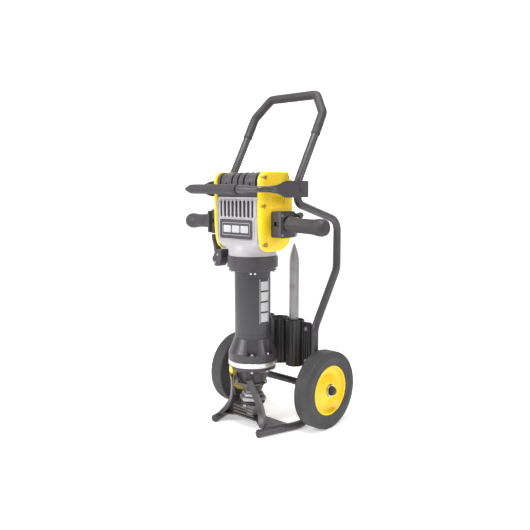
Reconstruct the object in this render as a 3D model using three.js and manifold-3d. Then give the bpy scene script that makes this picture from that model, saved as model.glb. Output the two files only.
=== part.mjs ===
// An electric breaker hammer standing in its two-wheeled trolley.
// Millimetres, +Z up, front towards -Y. The pieces are placed about the breaker's own axis (x = 0, y = 0),
// and the whole group is then moved along Y, so that its origin is the middle of its footprint on the ground.
import * as THREE from "three";
import { mergeVertices } from "three/addons/utils/BufferGeometryUtils.js";
import Module from "manifold-3d";

const wasm = await Module();
wasm.setup();

// ---------------------------------------------------------------- driving dimensions
const GAP = 0.3; // space kept between pieces that touch
const ROUND = 24; // sides of a large turned piece
const WHEEL_SIDES = 28; // with flats level with the ground and the back

const TUBE = { r: 12.7, bore: 11, sides: 12 }; // the trolley's 1 inch frame tube
const UPRIGHT_X = 149; // middle of each upright, from the middle of the trolley
const WHEEL = { r: 127, width: 56, inner: 164.5, rimR: 81, axleY: 137 }; // 10 inch wheels
const REAR_Y = WHEEL.axleY + WHEEL.r - TUBE.r; // the uprights' rear stretch is level with the tyres' backs
const AXLE_R = 8;

const BAIL = { pivotY: 45, z: 773, frontY: -137, armX: 164.8, barR: 9, sleeveR: 15.3, collarR: 15.7 };
const BAIL_PLATE = { inner: 162.3, thick: 5, height: 51, neck: 18, frontY: -22, rearY: 76 };

const HOUSING = { x: 90.7, front: -70, back: 78, bottom: 600, top: 748, wall: 5.5 };
const NECK = { r: 77, bottom: 563.5, bore: 50.8 };
const COVER = { inner: 91, thick: 15, wall: 4, front: -72, back: 77, bottom: 580, top: 826 };
const COVER_X = COVER.inner + COVER.thick;
const CAP_TOP = 824;

const BLOCK = { inner: COVER_X + GAP, outer: 147, front: -28, back: 37, bottom: 625, top: 706 };
const FLANGE = { inner: 147.3, outer: 155, front: -38, back: 38 };
const HANDLE = { pivotX: 129, leftOutset: 17, y: -5, z: 667.5, end: 303, gripR: 23, coreR: 15 };
const DROOP = THREE.MathUtils.degToRad(1.9);

const BARREL = { r: 58, bore: 50.5, bottom: 296.3, top: 562.8 };
const COLLAR = { r: 79.7, lipR: 76, bottom: 514, lip: 524.5, top: 563.2 };
const NOSE = { flareTop: 296, flareBottom: 222.3, ringBottom: 206.3, bottom: 117.5, bore: 18 };
const CRADLE = { deck: 28.4, socketTop: 72, socketX: 46, lean: 0.352 };

const CRANK = { z: 672, throw: 20, pinR: 8, gearX: 14, gearWidth: 12 };
const GEAR = { module: 2.8, wheel: 43, pinion: 13 };
const MOTOR_Z = CRANK.z + (GEAR.module * (GEAR.wheel + GEAR.pinion)) / 2;
const SLEEVE = { r: 50, bore: 41, bottom: 296.6, top: 598 };

const HOLDER = { y: 134, pitch: 67, r: 32, bore: 28.5, bottom: 185, floor: 188.5, top: 340 };
const CHISEL = { x: 63, y: 133, flats: 28.6, foot: 189, shoulder: 556, tip: 595 };

// ---------------------------------------------------------------- materials
function material(color, roughness, metalness) {
  return new THREE.MeshStandardMaterial({ color, roughness, metalness });
}
const MATERIALS = {
  frame: material(0x3b393c, 0.5, 0.3),
  plastic: material(0x4a484b, 0.6, 0),
  yellow: material(0xf7c81e, 0.4, 0),
  casting: material(0xbfbdc2, 0.45, 0.4),
  ring: material(0xe2dfe3, 0.25, 1),
  rubber: material(0x555356, 0.8, 0),
  tyre: material(0x4b494c, 0.85, 0),
  steel: material(0x9a989c, 0.35, 1),
  latch: material(0x776b69, 0.5, 0.8),
  copper: material(0xb06a3a, 0.4, 0.8),
};

// ---------------------------------------------------------------- solids and joins
function signedVolume(geometry) {
  const p = geometry.attributes.position;
  const index = geometry.index;
  const [a, b, c] = [new THREE.Vector3(), new THREE.Vector3(), new THREE.Vector3()];
  let sum = 0;
  for (let i = 0; i < index.count; i += 3) {
    a.fromBufferAttribute(p, index.getX(i));
    b.fromBufferAttribute(p, index.getX(i + 1));
    c.fromBufferAttribute(p, index.getX(i + 2));
    sum += a.dot(b.cross(c));
  }
  return sum / 6;
}

// Merged vertices only, with every face pointing out.
function closed(geometry) {
  const bare = geometry.clone();
  bare.deleteAttribute("normal");
  bare.deleteAttribute("uv");
  const merged = mergeVertices(bare, 1e-3);
  if (signedVolume(merged) < 0) {
    const index = merged.index;
    for (let i = 0; i < index.count; i += 3) {
      const second = index.getX(i + 1);
      index.setX(i + 1, index.getX(i + 2));
      index.setX(i + 2, second);
    }
  }
  return merged;
}

function toSolid(geometry) {
  const merged = closed(geometry);
  return new wasm.Manifold(
    new wasm.Mesh({
      numProp: 3,
      vertProperties: new Float32Array(merged.attributes.position.array),
      triVerts: new Uint32Array(merged.index.array),
    }),
  );
}

function toGeometry(solid) {
  const mesh = solid.getMesh();
  const geometry = new THREE.BufferGeometry();
  geometry.setAttribute("position", new THREE.BufferAttribute(new Float32Array(mesh.vertProperties), 3));
  geometry.setIndex(new THREE.BufferAttribute(new Uint32Array(mesh.triVerts), 1));
  return geometry;
}

function join(...geometries) {
  return toGeometry(geometries.map(toSolid).reduce((whole, next) => whole.add(next)));
}

function cut(geometry, ...tools) {
  return toGeometry(tools.map(toSolid).reduce((whole, tool) => whole.subtract(tool), toSolid(geometry)));
}

// ---------------------------------------------------------------- basic shapes
function box([x0, y0, z0], [x1, y1, z1]) {
  const geometry = new THREE.BoxGeometry(x1 - x0, y1 - y0, z1 - z0);
  return geometry.translate((x0 + x1) / 2, (y0 + y1) / 2, (z0 + z1) / 2);
}

// A rod between two points on a line along one axis.
function rod(axis, r, from, to, centre, sides = 20) {
  const geometry = new THREE.CylinderGeometry(r, r, to - from, sides);
  if (axis === "x") geometry.rotateZ(Math.PI / 2);
  if (axis === "z") geometry.rotateX(Math.PI / 2);
  const middle = (from + to) / 2;
  const [u, v] = centre;
  if (axis === "x") return geometry.translate(middle, u, v);
  if (axis === "y") return geometry.translate(u, middle, v);
  return geometry.translate(u, v, middle);
}

// A profile of [radius, height] points turned about +Z.
function turned(profile, sides = ROUND) {
  const points = profile.map(([r, h]) => new THREE.Vector2(r, h));
  return new THREE.LatheGeometry(points, sides).rotateX(Math.PI / 2);
}

function ringProfile(bore, r, bottom, top) {
  return [[bore, bottom], [r, bottom], [r, top], [bore, top], [bore, bottom]];
}

// The same, turned about +X, its heights becoming distances along X.
function turnedAboutX(profile, sides = ROUND) {
  return turned(profile, sides).rotateY(Math.PI / 2);
}

function outline(points) {
  return new THREE.Shape(points.map(([x, y]) => new THREE.Vector2(x, y)));
}

function extruded(shape, depth, curveSegments = 6) {
  return new THREE.ExtrudeGeometry(shape, { depth, bevelEnabled: false, curveSegments });
}

// An outline drawn in the YZ plane and given a thickness from x0 to x1.
function sideways(shape, x0, x1, curveSegments = 6) {
  const toYZ = new THREE.Matrix4().makeBasis(
    new THREE.Vector3(0, 1, 0),
    new THREE.Vector3(0, 0, 1),
    new THREE.Vector3(1, 0, 0),
  );
  return extruded(shape, x1 - x0, curveSegments).applyMatrix4(toYZ).translate(x0, 0, 0);
}

function roundedRectangle(x0, y0, x1, y1, r) {
  const shape = new THREE.Shape();
  shape.moveTo(x0 + r, y0);
  shape.lineTo(x1 - r, y0);
  shape.absarc(x1 - r, y0 + r, r, -Math.PI / 2, 0);
  shape.lineTo(x1, y1 - r);
  shape.absarc(x1 - r, y1 - r, r, 0, Math.PI / 2);
  shape.lineTo(x0 + r, y1);
  shape.absarc(x0 + r, y1 - r, r, Math.PI / 2, Math.PI);
  shape.lineTo(x0, y0 + r);
  shape.absarc(x0 + r, y0 + r, r, Math.PI, 1.5 * Math.PI);
  return shape;
}

function polygon(r, sides) {
  const step = (2 * Math.PI) / sides;
  return Array.from({ length: sides }, (_, i) => [
    r * Math.cos((i + 0.5) * step),
    r * Math.sin((i + 0.5) * step),
  ]);
}

function mirrored(geometry) {
  return closed(geometry.clone().scale(-1, 1, 1));
}

// ---------------------------------------------------------------- bent tubes
// A path through given stations, one for each step of an extrusion.
class StationCurve extends THREE.Curve {
  constructor(stations) {
    super();
    this.stations = stations;
  }

  getPointAt(u, target = new THREE.Vector3()) {
    const place = u * (this.stations.length - 1);
    const first = Math.min(Math.floor(place + 1e-6), this.stations.length - 2);
    return target.lerpVectors(this.stations[first], this.stations[first + 1], place - first);
  }

  getTangentAt(u, target = new THREE.Vector3()) {
    const last = this.stations.length - 1;
    const i = Math.round(u * last);
    const before = this.stations[Math.max(i - 1, 0)];
    const here = this.stations[i];
    const after = this.stations[Math.min(i + 1, last)];
    const arriving = here.clone().sub(before).normalize();
    const leaving = after.clone().sub(here).normalize();
    return target.addVectors(arriving, leaving).normalize();
  }
}

// Straight stretches between corners of [x, y, z, bend radius], with a station about every 21 degrees of bend.
function bentPath(corners) {
  const points = corners.map(([x, y, z]) => new THREE.Vector3(x, y, z));
  const stations = [points[0]];
  for (let i = 1; i < points.length - 1; i++) {
    const into = points[i].clone().sub(points[i - 1]).normalize();
    const out = points[i + 1].clone().sub(points[i]).normalize();
    const turn = into.angleTo(out);
    const r = corners[i][3];
    const reach = r * Math.tan(turn / 2);
    const inward = out.clone().sub(into).normalize();
    const centre = points[i].clone().addScaledVector(inward, r / Math.cos(turn / 2));
    const start = points[i].clone().addScaledVector(into, -reach).sub(centre);
    const axis = into.clone().cross(out).normalize();
    const steps = Math.max(2, Math.round(turn / (Math.PI / 8.5)));
    for (let k = 0; k <= steps; k++) {
      stations.push(start.clone().applyAxisAngle(axis, (turn * k) / steps).add(centre));
    }
  }
  stations.push(points[points.length - 1]);
  return new StationCurve(stations);
}

function tubeAlong(path, r, bore, sides = TUBE.sides) {
  const section = outline(polygon(r, sides));
  if (bore) section.holes.push(new THREE.Path(polygon(bore, 6).map(([x, y]) => new THREE.Vector2(x, y))));
  return new THREE.ExtrudeGeometry(section, { steps: path.stations.length - 1, extrudePath: path });
}

// ---------------------------------------------------------------- the trolley
const FOOT_Z = TUBE.r * Math.cos(Math.PI / TUBE.sides); // the tube's flat underside is on the ground
const GRIP_START = { y: 129.2, z: 943 };
const LOOP_START = { y: 139.2, z: 961 };
const FOOT = { tipX: 99, tipY: -80, kneeX: 138, kneeY: 52 };

function sideTube(side) {
  const path = bentPath([
    [side * FOOT.tipX, FOOT.tipY, FOOT_Z],
    [side * FOOT.kneeX, FOOT.kneeY, FOOT_Z, 60],
    [side * UPRIGHT_X, WHEEL.axleY, FOOT_Z, 68],
    [side * UPRIGHT_X, WHEEL.axleY, 322, 60],
    [side * UPRIGHT_X, REAR_Y, 508, 60],
    [side * UPRIGHT_X, REAR_Y, 668, 45],
    [side * UPRIGHT_X, BAIL.pivotY, 729, 30],
    [side * UPRIGHT_X, BAIL.pivotY, 793, 60],
    [side * UPRIGHT_X, LOOP_START.y, LOOP_START.z],
  ]);
  const [near, far] = [side * UPRIGHT_X - 20, side * UPRIGHT_X + 20];
  const axleHole = rod("x", AXLE_R + 0.5, near, far, [WHEEL.axleY, WHEEL.r]);
  const bailHole = rod("x", 6.5, near, far, [BAIL.pivotY, BAIL.z]);
  return cut(tubeAlong(path, TUBE.r, TUBE.bore), axleHole, bailHole);
}

function loopCorners(start) {
  const half = [
    [UPRIGHT_X, start.y, start.z],
    [148.6, 167, 1013, 32],
    [99, 198, 1076, 22],
  ];
  return [...half, ...half.map(([x, y, z, r]) => [-x, y, z, r]).reverse()];
}

function handleLoop() {
  const start = { y: LOOP_START.y + 0.15, z: LOOP_START.z + 0.3 };
  return tubeAlong(bentPath(loopCorners(start)), TUBE.r, TUBE.bore);
}

function handleGrip() {
  const section = outline(polygon(14.6, TUBE.sides));
  section.holes.push(new THREE.Path(polygon(13.5, TUBE.sides).map(([x, y]) => new THREE.Vector2(x, y))));
  const path = bentPath(loopCorners(GRIP_START));
  return new THREE.ExtrudeGeometry(section, { steps: path.stations.length - 1, extrudePath: path });
}

function footPlug(side) {
  const profile = [[0, -3], [12.3, -3], [12.3, -GAP], [9.4, -GAP], [9.4, 14], [0, 14]];
  const along = Math.atan2(FOOT.kneeY - FOOT.tipY, side * (FOOT.kneeX - FOOT.tipX));
  return turned(profile, 12)
    .rotateZ(Math.PI / 12)
    .rotateY(Math.PI / 2)
    .rotateZ(along)
    .translate(side * FOOT.tipX, FOOT.tipY, FOOT_Z + 0.1);
}

function axleTube() {
  const half = UPRIGHT_X - TUBE.r - GAP;
  return turnedAboutX(ringProfile(AXLE_R + 0.6, 12, -half, half), 16).translate(0, WHEEL.axleY, WHEEL.r);
}

function axleRod() {
  return rod("x", AXLE_R, -230, 230, [WHEEL.axleY, WHEEL.r]);
}

function axleNut(side) {
  const inner = WHEEL.inner + WHEEL.width + 0.6;
  const barrel = rod("x", 14, inner, inner + 9, [0, 0], 6);
  const dome = turnedAboutX(
    [[0, inner + 8], [11, inner + 8], [9, inner + 13], [4, inner + 15.5], [0, inner + 15.5]],
    16,
  );
  const hole = rod("x", AXLE_R + 0.4, inner - 1, 230.5, [0, 0]);
  const nut = cut(join(barrel, dome), hole).translate(0, WHEEL.axleY, WHEEL.r);
  return side > 0 ? nut : mirrored(nut);
}

function basePlate() {
  const shape = outline([
    [135, 22], [101, -63], [88, -63], [45, -32],
    [-45, -32], [-88, -63], [-101, -63], [-135, 22],
  ].reverse());
  const bottom = 2 * FOOT_Z + GAP;
  return extruded(shape, CRADLE.deck - bottom).translate(0, 0, bottom);
}

// A blade that stands on the deck along a slanting line and leans in towards the nose.
function cradlePlate(side) {
  const shape = new THREE.Shape();
  shape.moveTo(0, 0);
  shape.quadraticCurveTo(28, 22, 33, 66);
  shape.quadraticCurveTo(33, 110, 24, 148);
  shape.lineTo(38, 148);
  shape.quadraticCurveTo(50, 100, 56, 66);
  shape.quadraticCurveTo(50, 20, 34, 0);
  const edge = new THREE.Shape();
  edge.moveTo(0, 0);
  edge.quadraticCurveTo(28, 22, 33, 66);
  edge.quadraticCurveTo(33, 110, 24, 148);
  edge.lineTo(29, 148);
  edge.quadraticCurveTo(38, 110, 38, 66);
  edge.quadraticCurveTo(33, 22, 6, 0);
  const along = new THREE.Vector3(-0.434, 0.901, 0).normalize();
  const inward = new THREE.Vector3(-along.y, along.x, 0);
  const up = inward.clone().multiplyScalar(CRADLE.lean).add(new THREE.Vector3(0, 0, 1)).normalize();
  const outward = along.clone().cross(up);
  const stand = new THREE.Matrix4().makeBasis(along, up, outward).setPosition(98, -60, CRADLE.deck + GAP);
  const flange = extruded(edge, 18, 5).translate(0, 0, -12);
  const clearNose = rod("z", 65, 90, 200, [0, 0], ROUND);
  const belowDeck = box([-200, -200, 0], [200, 200, CRADLE.deck + GAP]);
  const blade = cut(join(extruded(shape, 6, 5), flange).applyMatrix4(stand), clearNose, belowDeck);
  return side > 0 ? blade : mirrored(blade);
}

function cradleSocket() {
  const { deck, socketTop, socketX } = CRADLE;
  const bottom = deck + GAP;
  const body = rod("z", 40, bottom, socketTop, [0, 0], ROUND);
  const front = box([-socketX, -46, bottom], [socketX, -24, socketTop]);
  return cut(join(body, front), rod("z", 26, bottom - 1, socketTop + 1, [0, 0], 24));
}

function socketBumper() {
  const top = 83.4;
  const bottom = CRADLE.socketTop + GAP;
  const side = [[36, bottom], [40, bottom + 3], [40, top - 3], [36, top]];
  return turned([[26, bottom], ...side, [26, top], [26, bottom]], 24);
}

function chiselHolder() {
  const { y, pitch, r, bore, bottom, floor, top } = HOLDER;
  const tubes = [-pitch, 0, pitch].map((x) => rod("z", r, bottom, top, [x, y], 16));
  const bores = [-pitch, 0, pitch].map((x) => rod("z", bore, floor, top + 1, [x, y], 16));
  const web = box([-pitch, y - 4, bottom], [pitch, y + 4, top]);
  const ear = UPRIGHT_X - TUBE.r - GAP;
  const ears = box([-ear, y - 4, bottom + 2], [ear, y + 4, top - 2]);
  return cut(join(...tubes, web, ears), ...bores);
}

function chisel() {
  const r = CHISEL.flats / Math.sqrt(3);
  const profile = [
    [0, CHISEL.foot], [r, CHISEL.foot], [r, CHISEL.shoulder], [r * 0.6, CHISEL.shoulder + 20], [2, CHISEL.tip],
    [0, CHISEL.tip],
  ];
  const shank = turned(profile, 6);
  const collar = turned([[0, 318], [19, 318], [21.5, 322], [21.5, 330], [19, 334], [0, 334]], 16);
  return join(shank, collar).translate(CHISEL.x, CHISEL.y, 0);
}

// ---------------------------------------------------------------- wheels
// A wheel piece, with flats at its top, bottom, front and back that are at the profile's own radii.
function onAxle(profile, side) {
  const stretch = 1 / Math.cos(Math.PI / WHEEL_SIDES);
  const piece = turnedAboutX(profile, WHEEL_SIDES)
    .rotateX(Math.PI / WHEEL_SIDES)
    .scale(1, stretch, stretch)
    .translate(WHEEL.inner, WHEEL.axleY, WHEEL.r);
  return side > 0 ? piece : mirrored(piece);
}

function tyre(side) {
  const { r, width, rimR } = WHEEL;
  const half = [[rimR + GAP, 3], [r - 20, 0], [r - 6, 1.5], [r, 7]];
  const back = half.map(([radius, x]) => [radius, width - x]).reverse();
  return onAxle([...half, ...back, half[0]], side);
}

function rim(side) {
  const { width, rimR } = WHEEL;
  const profile = [
    [13, 2], [24, 2], [28, 20], [61, 22], [75, 6], [rimR, 6], [rimR, width - 5], [77, width - 4],
    [60, width - 22], [28, width - 8], [22, width], [13, width], [13, 2],
  ];
  return onAxle(profile, side);
}

function wheelBush(side) {
  const { width, inner, axleY, r } = WHEEL;
  const profile = [
    [AXLE_R + 0.4, 0], [20, 0], [20, 1.7], [12.6, 1.7], [12.6, width - 1], [AXLE_R + 0.4, width - 1],
    [AXLE_R + 0.4, 0],
  ];
  const bush = turnedAboutX(profile, 24).translate(inner, axleY, r);
  return side > 0 ? bush : mirrored(bush);
}

// ---------------------------------------------------------------- the retaining hoop
function bailHoop() {
  const { armX, frontY, z, barR, pivotY } = BAIL;
  const { inner, thick, height, neck, frontY: wideY, rearY } = BAIL_PLATE;
  const bar = tubeAlong(
    bentPath([[-armX, -84, z], [-armX, frontY, z, 17], [armX, frontY, z, 17], [armX, -84, z]]),
    barR,
  );
  const plateShape = outline([
    [-100, z - neck / 2], [-62, z - 13], [wideY, z - height / 2], [rearY, z - height / 2],
    [rearY, z + height / 2], [wideY, z + height / 2], [-62, z + 13], [-100, z + neck / 2],
  ]);
  const plate = cut(
    sideways(plateShape, inner, inner + thick),
    rod("x", 6.5, inner - 1, inner + thick + 1, [pivotY, z]),
  );
  return join(bar, plate, mirrored(plate));
}

function bailGrip() {
  const { frontY, z, barR, sleeveR, collarR } = BAIL;
  const bore = (barR + 0.3) / Math.cos(Math.PI / 12);
  const profile = [
    [bore, -146], [sleeveR - 3, -146], [sleeveR, -136], [sleeveR, 66], [collarR, 67], [collarR, 72],
    [bore, 72], [bore, -146],
  ];
  return turnedAboutX(profile, 12).translate(0, frontY, z);
}

function bailBolt(side) {
  const outer = BAIL_PLATE.inner + BAIL_PLATE.thick + GAP;
  const shank = rod("x", 6, 130, outer + 1, [BAIL.pivotY, BAIL.z], 16);
  const head = rod("x", 9, outer, outer + 2, [BAIL.pivotY, BAIL.z], 16);
  const bolt = join(shank, head);
  return side > 0 ? bolt : mirrored(bolt);
}

// ---------------------------------------------------------------- the breaker's body
const GRILLE = { middle: -3, half: 80.5, bottom: 682.5, top: 741 };

function motorHousing() {
  const { x, front, back, bottom, top, wall } = HOUSING;
  const shell = extruded(roundedRectangle(-x, front, x, back, 10), top - bottom, 2).translate(0, 0, bottom);
  const neck = turned([
    [0, NECK.bottom], [NECK.r, NECK.bottom], [NECK.r, bottom - 8], [NECK.r + 4, bottom + 1], [0, bottom + 1],
  ]);
  const room = box([-x + wall, front + wall, bottom + 6], [x - wall, back - wall, top + 1]);
  const bore = rod("z", NECK.bore, NECK.bottom - 1, bottom + 8, [0, 0], ROUND);
  const { middle, half } = GRILLE;
  const window = box([middle - half, front - 1, GRILLE.bottom], [middle + half, front + wall + 1, GRILLE.top]);
  const vents = [-2, -1, 0, 1, 2].map((i) =>
    box([-60, back - wall - 1, 670 + i * 14], [60, back + 1, 677 + i * 14]),
  );
  const crankHole = rod("x", 11, x - wall - 1, x + 1, [0, CRANK.z]);
  return cut(join(shell, neck), room, bore, window, ...vents, crankHole);
}

function frontGrille() {
  const y0 = HOUSING.front + 1;
  const y1 = HOUSING.front + HOUSING.wall;
  const { middle, half } = GRILLE;
  const frame = box(
    [middle - half + GAP, y0, GRILLE.bottom + GAP],
    [middle + half - GAP, y1, GRILLE.top - GAP],
  );
  const slots = Array.from({ length: 9 }, (_, i) => {
    const x = middle + (i - 4) * 17.2;
    return box([x - 6, y0 - 1, GRILLE.bottom + 3], [x + 6, y1 + 1, GRILLE.top - 3]);
  });
  return cut(frame, ...slots);
}

function badgePlate() {
  const face = extruded(roundedRectangle(-75, 618, 69, 680, 8), 2.5, 2);
  const upright = new THREE.Matrix4().makeBasis(
    new THREE.Vector3(1, 0, 0),
    new THREE.Vector3(0, 0, 1),
    new THREE.Vector3(0, -1, 0),
  );
  return face.applyMatrix4(upright).translate(0, HOUSING.front - GAP, 0);
}

function coverShape(inset) {
  const { front, back, bottom, top } = COVER;
  const [f, b, lo, hi] = [front + inset, back - inset, bottom + inset, top - inset];
  const shape = new THREE.Shape();
  shape.moveTo(f, lo + 100);
  shape.lineTo(f, hi - 36);
  shape.quadraticCurveTo(f, hi, f + 30, hi);
  shape.lineTo(b - 20, hi);
  shape.lineTo(b - 18, hi - 3);
  shape.lineTo(b - 18, hi - 20);
  shape.lineTo(b - 6, hi - 21);
  shape.quadraticCurveTo(b, hi - 21, b, hi - 34);
  shape.lineTo(b, lo + 84);
  shape.quadraticCurveTo(b, lo, 8, lo);
  shape.lineTo(f + 44, lo);
  shape.quadraticCurveTo(f + 12, lo + 3, f + 7, lo + 28);
  shape.quadraticCurveTo(f, lo + 60, f, lo + 100);
  return shape;
}

function sideCover(side) {
  const outside = sideways(coverShape(0), COVER.inner, COVER_X, 5);
  const inside = sideways(coverShape(COVER.wall), COVER.inner - 1, COVER_X - COVER.wall, 5);
  const cover = cut(outside, inside);
  return side > 0 ? cover : mirrored(cover);
}

function capShape(inset) {
  const [front, back, low, high] = [-66 + inset, 78 - inset, HOUSING.top + GAP, CAP_TOP - inset];
  const shape = new THREE.Shape();
  shape.moveTo(front, low - (inset ? 1 : 0));
  shape.lineTo(front, high - 34);
  shape.quadraticCurveTo(front, high, front + 34, high);
  shape.lineTo(back - 30, high);
  shape.quadraticCurveTo(back, high, back, high - 30);
  shape.lineTo(back, low - (inset ? 1 : 0));
  return shape;
}

function topCap() {
  const x = HOUSING.x;
  const shell = sideways(capShape(0), -x, x);
  const room = sideways(capShape(4.5), -x + 4.5, x - 4.5);
  const slots = [-78, -26, 0, 26, 78].map((middle) =>
    box([middle - 3.5, -70, 776], [middle + 3.5, -26, CAP_TOP + 1]),
  );
  const notches = [-52, 52].map((middle) => box([middle - 3.5, -70, 776], [middle + 3.5, -56, 793]));
  return cut(shell, room, ...slots, ...notches);
}

function bearingCollar() {
  const bore = BARREL.r + 0.5;
  return turned([
    [bore, COLLAR.bottom], [COLLAR.lipR, COLLAR.bottom], [COLLAR.lipR, COLLAR.lip], [COLLAR.r, COLLAR.lip],
    [COLLAR.r, COLLAR.top], [bore, COLLAR.top], [bore, COLLAR.bottom],
  ]);
}

function barrelFlange() {
  const { flareTop, flareBottom } = NOSE;
  return turned([
    [30, flareBottom], [79, flareBottom], [79, 248], [75.7, 253], [58.6, flareTop], [30, flareTop],
    [30, flareBottom],
  ]);
}

function noseCasting() {
  const { ringBottom, bottom, bore } = NOSE;
  const top = ringBottom - GAP;
  return turned([
    [bore, bottom], [31, bottom], [44, 152], [55.6, 186], [76, 195], [76, top], [bore, top], [bore, bottom],
  ]);
}

// The stepped hexagonal end of the breaker, whose tip stands in the socket.
function chuckCollar() {
  const top = NOSE.bottom - GAP;
  const tip = rod("z", 23, CRADLE.deck + 4, 90, [0, 0], 24);
  const lower = rod("z", 45, 83.7, 98, [0, 0], 6);
  const middle = rod("z", 37, 97, 110, [0, 0], 6);
  const upper = rod("z", 29, 109, top, [0, 0], 6);
  return cut(join(tip, lower, middle, upper), rod("z", NOSE.bore, 0, 130, [0, 0], ROUND));
}

// A latch that turns round the nose: a thin ring, a bow in front of it on two spokes, and an eye on the bow.
const RETAINER = { z: 146, bowInner: 56, bowOuter: 62, angle: (250 / 180) * Math.PI };

function bitRetainer() {
  const { z, bowInner, bowOuter } = RETAINER;
  const ring = turned(ringProfile(43.8, 47.2, z - 5, z + 1));
  const bow = new THREE.Shape();
  bow.absarc(0, 0, bowOuter, -0.5, 0.85);
  bow.absarc(0, 0, bowInner, 0.85, -0.5, true);
  const arc = extruded(bow, 12, 8).translate(0, 0, z - 6);
  const spokes = [-0.42, 0.77].map((angle) => box([45, -4, z - 5], [59, 4, z + 1]).rotateZ(angle));
  const eye = new THREE.Shape();
  eye.moveTo(-14, z - 5);
  eye.lineTo(14, z - 5);
  eye.lineTo(13, z + 20);
  eye.quadraticCurveTo(9, z + 34, 0, z + 34);
  eye.quadraticCurveTo(-9, z + 34, -13, z + 20);
  const hole = new THREE.Path();
  hole.absarc(0, z + 20, 6.5, 0, 2 * Math.PI);
  eye.holes.push(hole);
  const tab = sideways(eye, bowInner - 0.5, bowOuter + 0.5, 5);
  return join(ring, arc, ...spokes, tab).rotateZ(RETAINER.angle);
}

// ---------------------------------------------------------------- side handles
// The left handle stands further out than the right one.
function outset(side) {
  return side > 0 ? 0 : HANDLE.leftOutset;
}

function onSide(geometry, side) {
  return side > 0 ? geometry : mirrored(geometry.translate(outset(side), 0, 0));
}

function handleBlock(side) {
  const { inner, outer, front, back, bottom, top } = BLOCK;
  const shape = roundedRectangle(front, bottom, back, top, 6);
  const out = outset(side);
  const pocket = rod("x", 24, 118, outer + 1, [HANDLE.y, HANDLE.z], 24);
  return onSide(cut(sideways(shape, inner - out, outer, 2), pocket), side);
}

const KNOB = { y: 34, z: 694 };
const LEVER = { x: 168, y: 37, bottom: 677.5, top: 690.5, r: 9 };

function handleFlange(side) {
  const { inner, outer, front, back } = FLANGE;
  const plate = sideways(roundedRectangle(front, 628, back, 701, 8), inner, outer, 2);
  const opening = rod("x", 22, inner - 1, outer + 1, [HANDLE.y, HANDLE.z], 24);
  if (side > 0) {
    const knob = turnedAboutX([[0, 152], [6, 152], [6, 164], [9, 165], [9, 176], [7, 178], [0, 178]], 16);
    return cut(join(plate, knob.translate(0, KNOB.y, KNOB.z)), opening);
  }
  const lug = box([outer - 1, 30, 671], [LEVER.x + 5, 44, 677]);
  const pin = rod("z", 4, 676, LEVER.top, [LEVER.x, LEVER.y], 12);
  return onSide(cut(join(plate, lug, pin), opening), side);
}

function droop(geometry, side) {
  return onSide(geometry.rotateY(DROOP).translate(HANDLE.pivotX, HANDLE.y, HANDLE.z), side);
}

function handleCore(side) {
  const length = HANDLE.end - HANDLE.pivotX - outset(side) - 8;
  const r = HANDLE.coreR;
  const profile = [[0, -8], [16, -8], [20, -3], [20, 4], [r, 9], [r, length], [0, length]];
  return droop(turnedAboutX(profile, 16), side);
}

function handleRubber(side) {
  const end = HANDLE.end - HANDLE.pivotX - outset(side);
  const bore = HANDLE.coreR + 0.4;
  const r = HANDLE.gripR;
  const profile = [
    [bore, 30], [r + 2, 32], [r, 44], [r - 1, 85], [r, end - 46], [r + 3, end - 28],
    [r - 1, end - 10], [r - 9, end - 0.3], [0, end - 0.3], [0, end - 7], [bore, end - 7], [bore, 30],
  ];
  return droop(turnedAboutX(profile, 16), side);
}

// On the left handle, which it is squeezed against.
function switchLever() {
  const { x, y, bottom, top, r } = LEVER;
  const hub = rod("z", r, bottom, top, [x, y], 16);
  const arm = box([x, y - 3, bottom], [x + 14, y + 4, top]);
  const paddle = box([x + 8, y - 2, 652], [x + 50, y + 4, top]);
  return onSide(cut(join(hub, arm, paddle), rod("z", 4.5, bottom - 1, top + 1, [x, y], 12)), -1);
}

// ---------------------------------------------------------------- mains inlet, on the left below the handle
const INLET = { left: -126, right: -88, front: -55, back: -21, bottom: 522, top: 578, glandZ: 544 };

function cordInlet() {
  const { left, right, front, back, bottom, top, glandZ } = INLET;
  const middle = (front + back) / 2;
  const block = box([left, front, bottom], [right, back, top]);
  const lug = box([right - 2, front + 6, 566], [-60, back - 6, top]);
  const strap = outline([
    [-144, BLOCK.bottom - GAP], [-140, 590], [-130, 562], [-110, 577], [-126, 598],
    [-134, BLOCK.bottom - GAP],
  ]);
  const upright = new THREE.Matrix4().makeBasis(
    new THREE.Vector3(1, 0, 0),
    new THREE.Vector3(0, 0, 1),
    new THREE.Vector3(0, -1, 0),
  );
  const guard = extruded(strap, 20).applyMatrix4(upright).translate(0, -30, 0);
  const clearNeck = rod("z", NECK.r + 0.6, 500, 640, [0, 0], ROUND);
  const clearCollar = rod("z", COLLAR.r + 0.6, 500, COLLAR.top + 1.5, [0, 0], ROUND);
  const cableHole = rod("x", 5.5, left - 1, left + 22, [middle, glandZ], 12);
  return cut(join(block, lug, guard), clearNeck, clearCollar, cableHole);
}

function cordGland() {
  const middle = (INLET.front + INLET.back) / 2;
  const end = INLET.left - GAP;
  const profile = [
    [5.5, end - 13], [9, end - 13], [12.5, end - 9], [12.5, end], [5.5, end], [5.5, end - 13],
  ];
  return turnedAboutX(profile, 16).translate(0, middle, INLET.glandZ);
}

// ---------------------------------------------------------------- inside the breaker
function toothedDisc(teeth, x0, x1, phase) {
  const pitch = (GEAR.module * teeth) / 2;
  const step = (2 * Math.PI) / teeth;
  const points = [];
  for (let i = 0; i < teeth; i++) {
    const middle = i * step + phase;
    for (const [r, share] of [
      [pitch - 2.9, -0.36], [pitch + 2.3, -0.11], [pitch + 2.3, 0.11], [pitch - 2.9, 0.36],
    ]) {
      points.push([r * Math.cos(middle + share * step), r * Math.sin(middle + share * step)]);
    }
  }
  return sideways(outline(points), x0, x1);
}

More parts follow.
